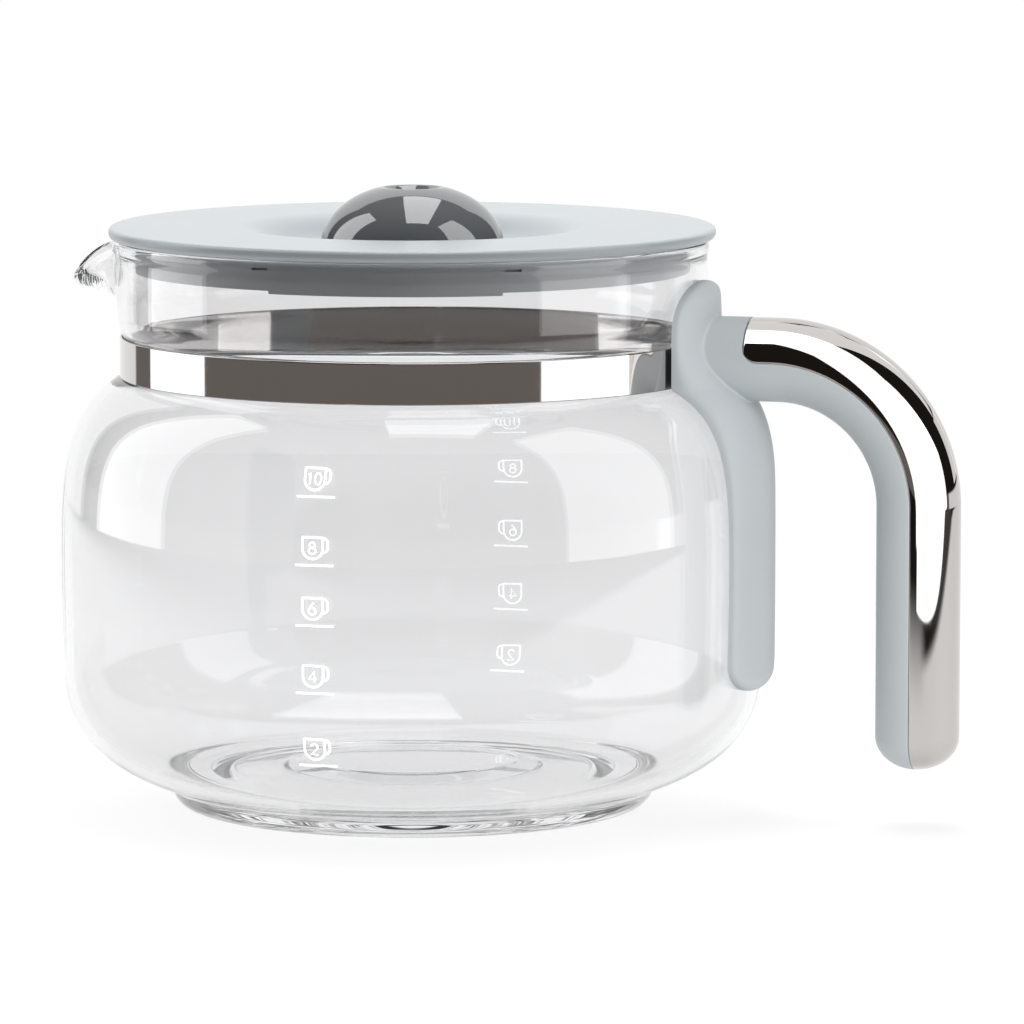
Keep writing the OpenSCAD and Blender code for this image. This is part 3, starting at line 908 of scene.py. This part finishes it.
class NeckBand:
    """The mirror steel strip round the neck, with ends that step out over the clamp plate."""

    def __init__(self, sizes: BandSizes = BandSizes()) -> None:
        """Takes the sizes."""
        self.sizes = sizes

    def build(self) -> None:
        """Sweeps a rounded flat section along the strip's way round the neck."""
        s = self.sizes
        mid = s.inner_r + s.thick / 2
        step = s.joggle_half
        ends = np.array([(s.free_at, s.fold_r), (s.joggle_at - step, s.fold_r),
                         (s.joggle_at, (mid + s.fold_r) / 2), (s.joggle_at + step, mid)])
        round_way = np.stack([np.linspace(s.joggle_at + 2 * step, 180, 150), np.full(150, mid)], 1)
        half_way = np.concatenate([softened(np.repeat(ends, 2, 0), 1.0, 2), round_way])
        turns = np.radians(np.concatenate([half_way[:, 0], 360 - half_way[::-1, 0][1:]]))
        radii = np.concatenate([half_way[:, 1], half_way[::-1, 1][1:]])
        h = s.thick / 2
        corners = ((-h, s.low_z), (h, s.low_z), (h, s.high_z), (-h, s.high_z))
        section = rounded([(*corner, s.edge) for corner in corners], closed=True, steps=4)
        rows = swept(radii[:, None] + section[:, 0], turns[:, None], section[:, 1])
        rows = np.concatenate([gathered(rows[:1]), rows, gathered(rows[-1:])])
        MeshPiece("neck_strip").grid(rows, wrap_points=True).make(
            BAND_STEEL, Body.JUG, Slot.BAND, ["neck_band"], sharp=45)
        for node in ("clamp_plate", "clamp_screw", "lock_washer"):
            dress(node, SCREW_STEEL)


# ---------------------------------------------------------------- bracket


@dataclass(frozen=True)
class BracketSizes:
    """Sizes of the saddle bracket, in millimetres."""

    half_w: float = 16.4
    ear_top: float = 120.6
    tail_z: float = 29.2
    ear_x: float = 70.6
    tail_x: float = 83.0
    ear_arch: float = 11.0
    tail_arch: float = 8.0
    ear_round: float = 3.0
    tail_round: float = 4.0
    edge_t: float = 0.8
    hug_gap: float = 0.3
    band_w: float = 9.1
    back_low: float = 0.567
    back_high: float = 0.15
    side_power: float = 2.5
    arch_power: float = 2.3


class Bracket:
    """The plastic saddle between the glass and the grip."""

    def __init__(self, jug: GlassJug, sizes: BracketSizes = BracketSizes()) -> None:
        """Takes the glass that it hugs and works out its back."""
        self.jug = jug
        self.sizes = sizes
        s, j = sizes, jug.sizes
        low = s.tail_z + s.back_low * (j.neck_z - s.tail_z)
        high = j.neck_z - s.back_high * s.band_w
        tall = high - low
        self._back = bezier((s.tail_x, low), (s.tail_x, high - 0.25 * tall),
                            (s.ear_x, low + 0.69 * tall), (s.ear_x, high), 60)
        hug_end = (j.neck_r, j.shoulder_z + s.hug_gap)
        hug = bezier((j.body_r, j.belly_z), jug.high_point(1, 0.5), jug.high_point(0.975, 0.845),
                     hug_end, 60)
        below = jug.body_line[jug.body_line[:, 1] <= j.belly_z]
        self._hug = np.concatenate([below, hug[1:]])

    def _hug_r(self, z: np.ndarray) -> np.ndarray:
        """Radius that the inner face follows at a height."""
        return np.interp(z, self._hug[:, 1], self._hug[:, 0])

    def _half_w(self, z: np.ndarray) -> np.ndarray:
        """Half width at a height."""
        s = self.sizes
        ear = arch((s.ear_top - z) / s.ear_arch, s.arch_power)
        return s.half_w * ear * arch((z - s.tail_z) / s.tail_arch, s.arch_power)

    def _bulge(self, z: np.ndarray) -> np.ndarray:
        """Thickness beyond the edge in the middle of the saddle at a height."""
        s = self.sizes
        t = np.interp(z, self._back[:, 1], self._back[:, 0]) - self._hug_r(z) - s.hug_gap - s.edge_t
        return t * arch((s.ear_top - z) / s.ear_round, 2) * arch((z - s.tail_z) / s.tail_round, 2)

    def _inner_x(self, y: np.ndarray, z: np.ndarray) -> np.ndarray:
        """Distance of the inner face from the jug's axis plane."""
        return np.sqrt((self._hug_r(z) + self.sizes.hug_gap) ** 2 - y**2)

    def outer_x(self, y: np.ndarray, z: np.ndarray) -> np.ndarray:
        """Distance of the outer face from the jug's axis plane."""
        s = self.sizes
        share = np.clip(np.abs(y) / np.maximum(self._half_w(z), 1e-6), 0, 1)
        full = self._bulge(z) * (1 - share**s.side_power) ** (1 / s.side_power)
        return self._inner_x(y, z) + s.edge_t + full

    def build(self) -> None:
        """Makes the saddle as one loft from the tail to the ear."""
        s = self.sizes
        quarter = np.linspace(0, math.pi / 2, 19)
        tail = s.tail_z + s.tail_arch * (1 - np.cos(quarter))
        ear = s.ear_top - s.ear_arch * (1 - np.cos(quarter[::-1]))
        middle = np.linspace(tail[-1], ear[0], 90)[1:-1]
        z = np.concatenate([tail, middle, ear])[:, None]
        side = np.sin(np.linspace(-math.pi / 2, math.pi / 2, 49))[None]
        y = self._half_w(z) * side
        inner = self._inner_x(y, z)
        full = self._bulge(z) * (1 - np.abs(side) ** s.side_power) ** (1 / s.side_power)
        heights = np.broadcast_to(z, y.shape)
        outside = np.stack([inner + s.edge_t + full, y, heights], -1)
        inside = np.stack([inner, y, heights], -1)[:, ::-1]
        rows = np.concatenate([outside, inside], 1)
        MeshPiece("saddle_bracket").grid(rows, wrap_points=True).make(
            GRIP_PLASTIC, Body.JUG, Slot.GRIP, ["handle_bracket"], sharp=55)


# ---------------------------------------------------------------- grip


@dataclass(frozen=True)
class GripSizes:
    """Sizes of the hooked grip, in millimetres."""

    radius: float = 9.4
    spine_r: float = 8.0
    cover_in: float = 8.1
    axis_z: float = 103.4
    root_x: float = 69.5
    cover_x: float = 78.9
    bend_x: float = 85.3
    bend_z: float = 71.4
    bend_r: float = 32.0
    dome_z: float = 20.1
    dome_h: float = 7.5
    corner: float = 3.5
    seam: float = 0.13
    lip: float = 0.3
    fillet: float = 0.8


class Grip:
    """The hooked grip: a plastic core with a mirror cover on its outer half."""

    def __init__(self, bracket: Bracket, sizes: GripSizes = GripSizes()) -> None:
        """Takes the bracket that it grows out of."""
        self.bracket = bracket
        self.sizes = sizes

    def _stations(self, start: float, front: Sequence[float] = ()) -> np.ndarray:
        """Stations down the bar as rows of x, z, outward x, outward z, shrink, drop.

        Args:
            start: Where the bar starts on the X axis.
            front: More places on X where a station is wanted.

        Returns:
            One row for each station, from the root to the tip of the dome.
        """
        s = self.sizes
        even = np.linspace(start, s.bend_x, 14)
        flat_x = np.unique(np.round(np.concatenate([even, np.asarray(front, float)]), 4))
        flat = [(x, s.axis_z, 0, 1, 1, 0) for x in flat_x]
        ways = ((math.sin(t), math.cos(t)) for t in np.linspace(0, math.pi / 2, 65)[1:])
        bend = [(s.bend_x + s.bend_r * x, s.bend_z + s.bend_r * z, x, z, 1, 0) for x, z in ways]
        leg_x = s.bend_x + s.bend_r
        leg = [(leg_x, z, 1, 0, 1, 0) for z in np.linspace(s.bend_z, s.dome_z, 30)[1:]]
        dome = [(leg_x, s.dome_z, 1, 0, math.cos(t), math.sin(t))
                for t in np.linspace(0, math.pi / 2, 19)[1:]]
        return np.array(flat + bend + leg + dome)

    def _limit(self, stations: np.ndarray) -> np.ndarray:
        """Angle from the outer side at which the cover ends, in radians, at each station."""
        s = self.sizes
        along = np.where(stations[:, 3] >= 1, stations[:, 0] - s.cover_x, s.corner)
        short = s.corner - np.clip(along, 0, s.corner)
        rise = s.corner - np.sqrt(s.corner**2 - short**2)
        return np.arccos(rise / s.radius)

    @staticmethod
    def _surface(stations: np.ndarray, turn: np.ndarray, radius: np.ndarray,
                 drop: np.ndarray) -> np.ndarray:
        """Points of the bar.

        Args:
            stations: Rows from _stations.
            turn: Angles from the outer side, one row for each station.
            radius: Radius at each point.
            drop: Depth of the dome for each point.

        Returns:
            Array of stations, points and x, y, z.
        """
        x, z, out_x, out_z, shrink, down = (stations[:, i, None] for i in range(6))
        across = radius * shrink * np.cos(turn)
        return np.stack([x + across * out_x, radius * shrink * np.sin(turn),
                         z + across * out_z - drop * down], -1)

    def _core(self) -> None:
        """The plastic core, full at the root and cut back where the cover lies."""
        s = self.sizes
        near = s.cover_x + np.linspace(0.1, s.corner, 10)
        stations = self._stations(s.root_x, [s.cover_x - 0.001, s.cover_x, *near])
        limit = self._limit(stations)[:, None]
        covered = (stations[:, 0] >= s.cover_x)[:, None]
        gap, bed = s.seam / s.radius, s.radius - s.spine_r
        open_count, under_count = 22, 12
        inner = math.pi + (limit + 3.2 * gap - math.pi) * np.linspace(0, 1, open_count)[None]
        edge = limit + gap * np.array([[1.6, 0.6, 0.1, 0.0]])
        under = limit * np.linspace(1, 0, under_count)[None]
        turn = np.concatenate([inner, edge, under], 1)
        edge_cut = [0.02, 0.12, 0.3, bed]
        cut = np.concatenate([np.zeros(open_count), edge_cut, np.full(under_count, bed)])[None]
        radius = np.where(covered, s.radius - cut, s.radius)
        drop = np.where(covered, s.dome_h - cut, s.dome_h)
        whole = [np.concatenate([half, sign * half[:, -2:0:-1]], 1)
                 for half, sign in ((turn, -1), (radius, 1), (drop, 1))]
        rows = self._surface(stations, *whole)
        rows = np.concatenate([gathered(rows[:1]), rows])
        MeshPiece("grip_body").grid(rows, wrap_points=True).make(
            GRIP_PLASTIC, Body.JUG, Slot.GRIP, ["grip_core"])

    def _cover(self) -> None:
        """The mirror shell, with small rounds along its edges."""
        s = self.sizes
        start = s.cover_x + s.seam
        near = np.array([0.05, 0.15, 0.3, 0.6, 1.0, 1.5, 2.1, 2.8, 3.4])
        stations = self._stations(start, start + near)
        limit = self._limit(stations)[:, None]
        gap = s.seam / s.radius
        arc_count, under_count = 57, 31
        edge = np.array([[0.2, 0.6, 1.0, 2.0]]) * gap
        edge_cut = np.array([0.5, 0.15, 0.05, 0.0])
        arc = (limit - 3 * gap) * np.linspace(-1, 1, arc_count)[None]
        outer = np.concatenate([-(limit - edge), arc, limit - edge[:, ::-1]], 1)
        outer_cut = np.concatenate([edge_cut, np.zeros(arc_count), edge_cut[::-1]])[None]
        under = (limit - gap * 0.2) * np.linspace(1, -1, under_count)[None]
        turn = np.concatenate([outer, under], 1)
        thick = s.radius - s.cover_in
        cut = np.concatenate([outer_cut, np.full((1, under_count), thick)], 1)
        cut = np.broadcast_to(cut, turn.shape).copy()
        front = np.clip((stations[:, 0] - start) / s.lip, 0, 1)[:, None]
        front = np.where(stations[:, 3:4] >= 1, front, 1)
        lip = s.lip * (1 - np.sqrt(1 - (1 - front) ** 2))
        cut += np.where(cut > thick - 0.01, -lip, lip)
        rows = self._surface(stations, turn, s.radius - cut, s.dome_h - cut)
        flat_cut = np.full_like(turn[:1], thick / 2)
        end = self._surface(stations[:1], turn[:1], s.radius - flat_cut, s.dome_h - flat_cut)
        MeshPiece("grip_mirror").grid(np.concatenate([end, rows]), wrap_points=True).make(
            COVER_CHROME, Body.JUG, Slot.COVER, ["grip_cover"])

    def _root_fillet(self) -> None:
        """The small fillet where the round root grows out of the saddle."""
        s = self.sizes
        turn = np.linspace(0, 2 * math.pi, 121)[:-1]
        reach = s.radius + s.fillet
        rows = []
        for r in (reach, s.radius):
            y, z = r * np.sin(turn), s.axis_z + r * np.cos(turn)
            rows.append(np.stack([self.bracket.outer_x(y, z), y, z], -1))
        foot, corner = rows
        top = corner + (s.fillet, 0, 0)
        t = np.linspace(0, 1, 11)[:, None, None]
        bite = 0.03
        curve = (1 - t) ** 2 * (foot - (bite, 0, 0)) + 2 * t * (1 - t) * corner + t * t * top
        curve[-1, :, 1:] = top[:, 1:] - bite * (top[:, 1:] - (0, s.axis_z)) / s.radius
        buried = [corner - (1.0, 0, 0)]
        loft = np.concatenate([buried, curve, buried])
        MeshPiece("root_fillet").grid(loft, wrap_points=True).make(
            GRIP_PLASTIC, Body.JUG, Slot.GRIP, sharp=60)

    def build(self) -> None:
        """Makes the core, the mirror cover and the fillet at the root."""
        self._core()
        self._cover()
        self._root_fillet()


# ---------------------------------------------------------------- lid


@dataclass(frozen=True)
class LidSizes:
    """Sizes of the lid plate and knob, in millimetres."""

    plate_r: float = 68.4
    low_z: float = 128.8
    top_z: float = 131.4
    thick: float = 2.6
    dish_r: float = 40.5
    dish_flat_r: float = 24.0
    dish_z: float = 125.8
    hole_r: float = 15.43
    rib_r: tuple[float, float] = (54.7, 56.1)
    rib_h: float = 1.6
    knob_r: float = 20.85
    knob_h: float = 15.1
    knob_wall: float = 2.0
    dome_power: float = 2.1
    crest_r: float = 7.04
    dimple_r: float = 5.84
    dimple_deep: float = 1.8
    drip_r: float = 2.5
    tube_r: float = 4.2
    collar_r: float = 15.33
    collar_t: float = 1.6
    collar_drop: float = 1.3
    lug_h: float = 1.2
    lug_out: float = 0.6
    drip_edge: float = 0.4


class Lid:
    """The lid: a dished plate, a ring under it and a glossy domed knob."""

    def __init__(self, sizes: LidSizes = LidSizes()) -> None:
        """Takes the sizes."""
        self.sizes = sizes

    def _plate(self) -> None:
        """The dished plate with rounded rims."""
        s = self.sizes
        span = s.dish_r - s.dish_flat_r
        dish = bezier((s.dish_r, s.top_z), (s.dish_r - 0.45 * span, s.top_z),
                      (s.dish_flat_r + 0.5 * span, s.dish_z), (s.dish_flat_r, s.dish_z), 36)
        under = moved(dish, s.thick)
        under = under[under[:, 1] < s.low_z - 0.1][::-1]
        rim = rounded([(s.rib_r[0], s.low_z, 0), (s.rib_r[0], s.low_z - s.rib_h, 0.4),
                       (s.rib_r[1], s.low_z - s.rib_h, 0.4), (s.rib_r[1], s.low_z, 0.3),
                       (s.plate_r, s.low_z, 1.2), (s.plate_r, s.top_z, 1.0),
                       (s.dish_r, s.top_z, 0)])
        hole = rounded([(s.dish_flat_r, s.dish_z, 0), (s.hole_r, s.dish_z, 0.4),
                        (s.hole_r, s.dish_z - s.thick, 0.4),
                        (s.dish_flat_r - 4, s.dish_z - s.thick, 0)])
        outline = np.concatenate([rim, dish[1:-1], hole, under])
        MeshPiece("lid_disc").revolve(outline, 224, closed=True).make(
            LID_PLASTIC_PAINTED_SHADE, Body.LID, Slot.LID, ["lid_plate"], sharp=40)

    def _dome(self, radius: float, height: float, start: float, end: float) -> np.ndarray:
        """Half outline of a dome that is fuller than an ellipse, between two angles in degrees."""
        s = self.sizes
        t = np.radians(np.linspace(start, end, 48))
        return np.stack([radius * np.cos(t) ** (2 / s.dome_power),
                         s.dish_z + height * np.sin(t) ** (2 / s.dome_power)], 1)

    def _knob(self) -> None:
        """The hollow knob with its dimple, drip tube and collar."""
        s = self.sizes

        def angle(x: float, r: float) -> float:
            """Angle at which the dome has the radius x."""
            return math.degrees(math.acos((x / r) ** (s.dome_power / 2)))

        outside = self._dome(s.knob_r, s.knob_h, 0, angle(s.crest_r, s.knob_r))
        crest = outside[-1]
        hole_z = crest[1] - s.dimple_deep
        dimple = bezier(crest, crest - (1.2, 0), (0.8 * s.dimple_r, hole_z),
                        (s.drip_r + s.drip_edge, hole_z), 16)
        inner_r = s.knob_r - s.knob_wall
        inside = self._dome(inner_r, s.knob_h - s.knob_wall, angle(s.tube_r, inner_r),
                            angle(s.collar_r - s.collar_t, inner_r))
        low = s.dish_z - s.thick - s.collar_drop
        tube = rounded([(s.drip_r + s.drip_edge, hole_z, 0), (s.drip_r, hole_z, 0.35),
                        (s.drip_r, s.dish_z, 0.3), (s.tube_r, s.dish_z, 0.3), (*inside[0], 0)])
        collar = rounded([(*inside[-1], 0), (s.collar_r - s.collar_t, low, 0.3),
                          (s.collar_r, low, 0.3), (s.collar_r + s.lug_out, low + s.lug_h, 0.15),
                          (s.collar_r, low + s.lug_h, 0), (s.collar_r, s.dish_z, 0.2),
                          (s.knob_r, s.dish_z, 0)])
        top = softened(np.concatenate([outside, dimple[1:]]), 1.0, 3)
        outline = np.concatenate([top, tube[1:-1], inside, collar[1:-1]])
        MeshPiece("domed_knob").revolve(outline, 160, closed=True).make(
            KNOB_PLASTIC, Body.LID, Slot.KNOB, ["lid_knob"], sharp=45)

    def build(self) -> None:
        """Makes the plate and the knob, and finishes the carried-over ring."""
        self._plate()
        self._knob()
        dress("lid_ring", RING_PLASTIC_PAINTED_LIGHT)


# ---------------------------------------------------------------- studio

STUDIO_TURN = math.radians(16)  # where the camera stands, from -Y towards +X
STUDIO_RIGHT = (math.cos(STUDIO_TURN), math.sin(STUDIO_TURN), 0)
STUDIO_BACK = (-math.sin(STUDIO_TURN), math.cos(STUDIO_TURN), 0)


class Lit(Enum):
    """Which pieces a panel lights and shows in."""

    TABLEWARE = "all_but_the_handle"
    GRIP = "handle_plastic"
    COVER = "handle_mirror"


@dataclass(frozen=True)
class Panel:
    """A flat soft lamp, placed on the camera's own right, front and up from the object.

    Args:
        name: Its name.
        centre: Right, front and up of its middle, in metres.
        size: Its width and height, in metres.
        level: Its brightness, where 1 is paper white.
        lit: The pieces that it lights.
        aim: Right, front and up of the point that it faces.
        roll: Turn about its own axis, in degrees.
        shows: Whether it shows in gloss.
    """

    name: str
    centre: tuple[float, float, float]
    size: tuple[float, float]
    level: float
    lit: Lit
    aim: tuple[float, float, float] = (0.0, 0.0, 0.08)
    roll: float = 0.0
    shows: bool = True


@dataclass(frozen=True)
class StudioSky(Finish):
    """The room round the table, white for the camera, with a bright backdrop in a dark room.

    Args:
        backdrop: Brightness of the backdrop.
        room: Colour of the dark room.
        ground: Colour of the floor in front of the table.
        ambient: Brightness that matt surfaces get from all round.
        wall_half: Half width of the backdrop, as a share of its distance.
        wall_top: Top of the backdrop, as a share of its distance.
        ground_span: Directions between which the ground is dark, in degrees from the front.
    """

    backdrop: float = 1.0
    room: tuple[float, float, float] = (0.016, 0.013, 0.011)
    ground: tuple[float, float, float] = (0.19, 0.172, 0.16)
    ambient: float = 0.12
    wall_half: float = 0.87
    wall_top: float = 1.15
    ground_span: tuple[float, float] = (-139, 88)

    def shade(self, nodes: Nodes) -> Sock:
        """A backdrop wall with straight edges, seen from the middle of the table."""
        way = nodes.add("ShaderNodeTexCoord")["Generated"]
        back, side, up = (way.dot(axis) for axis in (STUDIO_BACK, STUDIO_RIGHT, (0, 0, 1)))
        soft = 0.02
        wall = back.above(soft, soft) * (side / back).between(-self.wall_half, self.wall_half, soft)
        wall = wall * (1 - (up / back).above(self.wall_top, soft))
        level = (self.backdrop,) * 3
        upper = nodes.blend(wall, self.room, level)
        round_front = side.atan2(-1 * back).between(*self.ground_span, 1)
        lower = nodes.blend(round_front, level, self.ground)
        seen = nodes.blend(up.above(-0.005, 0.01), lower, upper)
        path = nodes.add("ShaderNodeLightPath")
        matt = nodes.blend(path["Is Diffuse Ray"], seen, (self.ambient,) * 3)
        return nodes.add("ShaderNodeBackground", {}, {
            "Color": nodes.blend(path["Is Camera Ray"], matt, (1, 1, 1))})["Background"]

    def hang(self) -> None:
        """Puts the sky round the scene."""
        world = bpy.data.worlds.new(self.name)
        world.use_nodes = True
        nodes = Nodes(world.node_tree)
        nodes.add("ShaderNodeOutputWorld", {}, {"Surface": self.shade(nodes)})
        bpy.context.scene.world = world


@dataclass(frozen=True)
class PaleTable(Finish):
    """The pale table top, with a dark floor in front of it that shows in gloss only.

    Args:
        colour: Linear base colour.
        lift: Own light that carries it up to white.
        fade: Radii between which it fades out for the camera, in metres.
        middle: Where the middle of its pale part is, along X and Y, in metres.
        reach: Radius of its pale part, in metres.
        seen: Own light where the camera sees it directly.
        crisp_from: How far right its edge turns crisp in gloss, in metres, and over what stretch.
        crisp: Half width of its crisp edge, in metres.
        soft: How far out its soft edge starts, and half the width of that edge, in metres.
    """

    colour: tuple[float, float, float] = (0.18, 0.18, 0.18)
    lift: float = 0.78
    fade: tuple[float, float] = (0.27, 0.36)
    middle: tuple[float, float] = (-0.0003, 0.364)
    reach: float = 0.65
    seen: float = 0.82
    crisp_from: tuple[float, float] = (0.16, 0.06)
    crisp: float = 0.025
    soft: tuple[float, float] = (0.03, 0.14)

    def shade(self, nodes: Nodes) -> Sock:
        """A matt top with a trace of mottling."""
        place = nodes.place()
        path = nodes.add("ShaderNodeLightPath")
        mottle = nodes.noise(place, 60, 3)
        ends = {0: place, 1: (*self.middle, 0.0)}
        edge = nodes.add("ShaderNodeVectorMath", {"operation": "SUBTRACT"}, ends)["Vector"].length()
        crisp = place.dot(STUDIO_RIGHT).above(*self.crisp_from)
        further, width = self.soft
        dark = path["Is Glossy Ray"] * (crisp * edge.above(self.reach, self.crisp)
                                        + (1 - crisp) * edge.above(self.reach + further, width))
        mid, soft = sum(self.fade) / 2, (self.fade[1] - self.fade[0]) / 2
        top = nodes.blend(mottle, toned(self.colour, 0.985), self.colour)
        own = nodes.blend(path["Is Camera Ray"], (self.lift,) * 3, (self.seen,) * 3)
        return nodes.skin({
            "Base Color": nodes.blend(dark, top, (0.01, 0.009, 0.008)),
            "Roughness": mottle.spread(0.7, 0.8), "Specular IOR Level": 0.1,
            "Emission Color": nodes.blend(dark, own, (0, 0, 0)), "Emission Strength": 1.0,
            "Alpha": 1 - path["Is Camera Ray"] * place.length().above(mid, soft),
            "Normal": nodes.bump(nodes.noise(place, 1.5), 0.01),
        })


@dataclass(frozen=True)
class CameraPlace:
    """Where the camera stands and what it takes in.

    Args:
        place: X, Y and Z, in metres.
        tilt: How far it looks down, in degrees.
        lens: Focal length, in millimetres.
        film: Width of its picture, in millimetres.
    """

    place: tuple[float, float, float] = (0.47639, -1.57989, 0.2704)
    tilt: float = 7.05
    lens: float = 258.2
    film: float = 36


class Studio:
    """Camera, lamps, sky and table."""

    view = CameraPlace()
    table_r, table_drop = 0.8, 0.0002
    bounces, gloss_bounces = 32, 16  # enough for light to come through the foot and the beak
    upright = 0.99  # share of up or down in a panel's way from which its width follows the camera
    panels = (
        Panel("top_box", (0.09, -0.185, 1.03), (0.36, 1.09), 2.4, Lit.TABLEWARE,
              (0.09, -0.185, 0.0)),
        Panel("left_box", (-1.0, -0.267, 0.8), (0.686, 1.95), 2.0, Lit.TABLEWARE, (0, -0.27, 0.8)),
        Panel("right_box", (0.914, 0.317, 0.75), (0.73, 1.8), 1.75, Lit.TABLEWARE, (0, 0.03, 0.75)),
        Panel("lid_light", (0.0, -0.15, 1.25), (0.5, 0.5), 14.5, Lit.TABLEWARE, (0, 0, 0.1),
              shows=False),
        Panel("grip_light", (0.75, 1.1, 0.5), (1.5, 1.5), 3.0, Lit.GRIP, (0.1, 0, 0.08),
              shows=False),
        Panel("grip_top_light", (0.2, -0.3, 1.2), (0.8, 0.8), 2.8, Lit.GRIP, (0.1, 0, 0.08),
              shows=False),
        Panel("grip_left_light", (-1.0, 0.5, 0.4), (1.0, 1.0), 1.4, Lit.GRIP, (0.1, 0, 0.08),
              shows=False),
        Panel("cover_front", (0.578, 0.22, 0.2026), (0.964, 0.4), 2.0, Lit.COVER,
              (0.578, 0, 0.2026), -2.6),
        Panel("cover_front_left", (0.102, 0.22, 0.154), (0.1, 0.21), 2.0, Lit.COVER,
              (0.102, 0, 0.154), 15),
        Panel("cover_front_lean", (0.0762, 0.22, 0.3472), (0.2, 0.26), 2.0, Lit.COVER,
              (0.0762, 0, 0.3472), 34),
        Panel("cover_top", (-0.15, 0.105, 0.361), (0.3, 0.23), 2.0, Lit.COVER, (-0.15, 0.105, 0)),
        Panel("cover_top_lean", (0.1446, 0.205, 0.361), (0.48, 0.2), 2.0, Lit.COVER,
              (0.1446, 0.205, 0), -33.6),
        Panel("cover_top_right", (0.654, 0.256, 0.361), (0.79, 0.1), 2.0, Lit.COVER,
              (0.654, 0.256, 0), -6.4),
        Panel("cover_ceiling", (0.237, -0.095, 0.37), (1.08, 0.155), 1.1, Lit.COVER,
              (0.237, -0.095, 0), 36.3),
        Panel("cover_ceiling_left", (-0.092, -0.021, 0.37), (0.462, 0.116), 1.1, Lit.COVER,
              (-0.092, -0.021, 0), 36.3),
        Panel("cover_ceiling_mid", (0.15, -0.158, 0.37), (0.09, 0.05), 1.1, Lit.COVER,
              (0.15, -0.158, 0), 36.3),
        Panel("cover_side_wall", (0.7, -0.455, 0.225), (0.41, 0.27), 1.0, Lit.COVER,
              (0, -0.455, 0.225)),
    )

    @staticmethod
    def _aside(right: float, front: float, up: float) -> Vector:
        """A place given by the camera's right, front and up, in the frame's axes."""
        c, s, _ = STUDIO_RIGHT
        return Vector((right * c + front * s, right * s - front * c, up))

    def _camera(self) -> None:
        """The camera at the photograph's place."""
        tilt = math.radians(self.view.tilt)
        data = bpy.data.cameras.new("studio_camera")
        data.lens = self.view.lens
        data.sensor_width = self.view.film
        camera = bpy.data.objects.new("studio_camera", data)
        camera.location = self.view.place
        way = self._aside(0, -math.cos(tilt), -math.sin(tilt))
        camera.rotation_euler = way.to_track_quat("-Z", "Y").to_euler()
        bpy.context.scene.collection.objects.link(camera)
        bpy.context.scene.camera = camera

    @staticmethod
    def _receivers(lit: Lit) -> bpy.types.Collection:
        """The light linking collection of the pieces that a panel lights."""
        found = bpy.data.collections.get(lit.value)
        if found is not None:
            return found
        plastic, mirror = ("saddle_bracket", "grip_body", "root_fillet"), ("grip_mirror",)
        names = {Lit.GRIP: plastic, Lit.COVER: mirror, Lit.TABLEWARE: plastic + mirror}[lit]
        made = bpy.data.collections.new(lit.value)
        for name in names:
            made.objects.link(bpy.data.objects[name])
        if lit is Lit.TABLEWARE:
            for member in made.collection_objects:
                member.light_linking.link_state = "EXCLUDE"
        return made

    def _lamps(self) -> None:
        """Soft panels that light the pieces and show in them, but not to the camera."""
        for panel in self.panels:
            data = bpy.data.lights.new(panel.name, "AREA")
            data.shape = "RECTANGLE"
            data.size, data.size_y = panel.size
            data.energy = panel.level * math.pi * panel.size[0] * panel.size[1]
            lamp = bpy.data.objects.new(panel.name, data)
            lamp.location = self._aside(*panel.centre)
            way = self._aside(*panel.aim) - lamp.location
            back = -way.normalized()
            across = way.cross(Vector((0, 0, 1)))
            if abs(back.z) > self.upright:
                across = self._aside(1, 0, 0)
            across.normalize()
            turned = Matrix((across, back.cross(across), back)).transposed()
            roll = Matrix.Rotation(math.radians(panel.roll), 3, "Z")
            lamp.rotation_euler = (turned @ roll).to_euler()
            lamp.visible_camera = False
            lamp.visible_glossy = lamp.visible_transmission = panel.shows
            lamp.light_linking.receiver_collection = self._receivers(panel.lit)
            bpy.context.scene.collection.objects.link(lamp)

    def _table(self) -> None:
        """A round table top that the carafe stands on."""
        work = bmesh.new()
        bmesh.ops.create_circle(work, cap_ends=True, cap_tris=True, segments=128,
                                radius=self.table_r)
        mesh = bpy.data.meshes.new("table_top")
        work.to_mesh(mesh)
        work.free()
        mesh.materials.append(PaleTable("pale_table").material())
        table = bpy.data.objects.new("table_top", mesh)
        table.location = (0, 0, -self.table_drop)
        bpy.context.scene.collection.objects.link(table)

    def build(self) -> None:
        """Sets up the whole studio."""
        self._camera()
        self._lamps()
        self._table()
        StudioSky("studio_sky").hang()
        light = bpy.context.scene.cycles
        light.max_bounces = light.transmission_bounces = self.bounces
        light.glossy_bounces = self.gloss_bounces
        bpy.context.scene.view_settings.view_transform = "Standard"
        log.info("studio: %d lamps", len(self.panels))


def main() -> None:
    """Builds every piece in order, then the studio."""
    logging.basicConfig(level=logging.INFO, format="%(name)s: %(message)s")
    jug = GlassJug()
    jug.build()
    NeckBand().build()
    bracket = Bracket(jug)
    bracket.build()
    Grip(bracket).build()
    Lid().build()
    Studio().build()


if __name__ == "__main__":
    main()
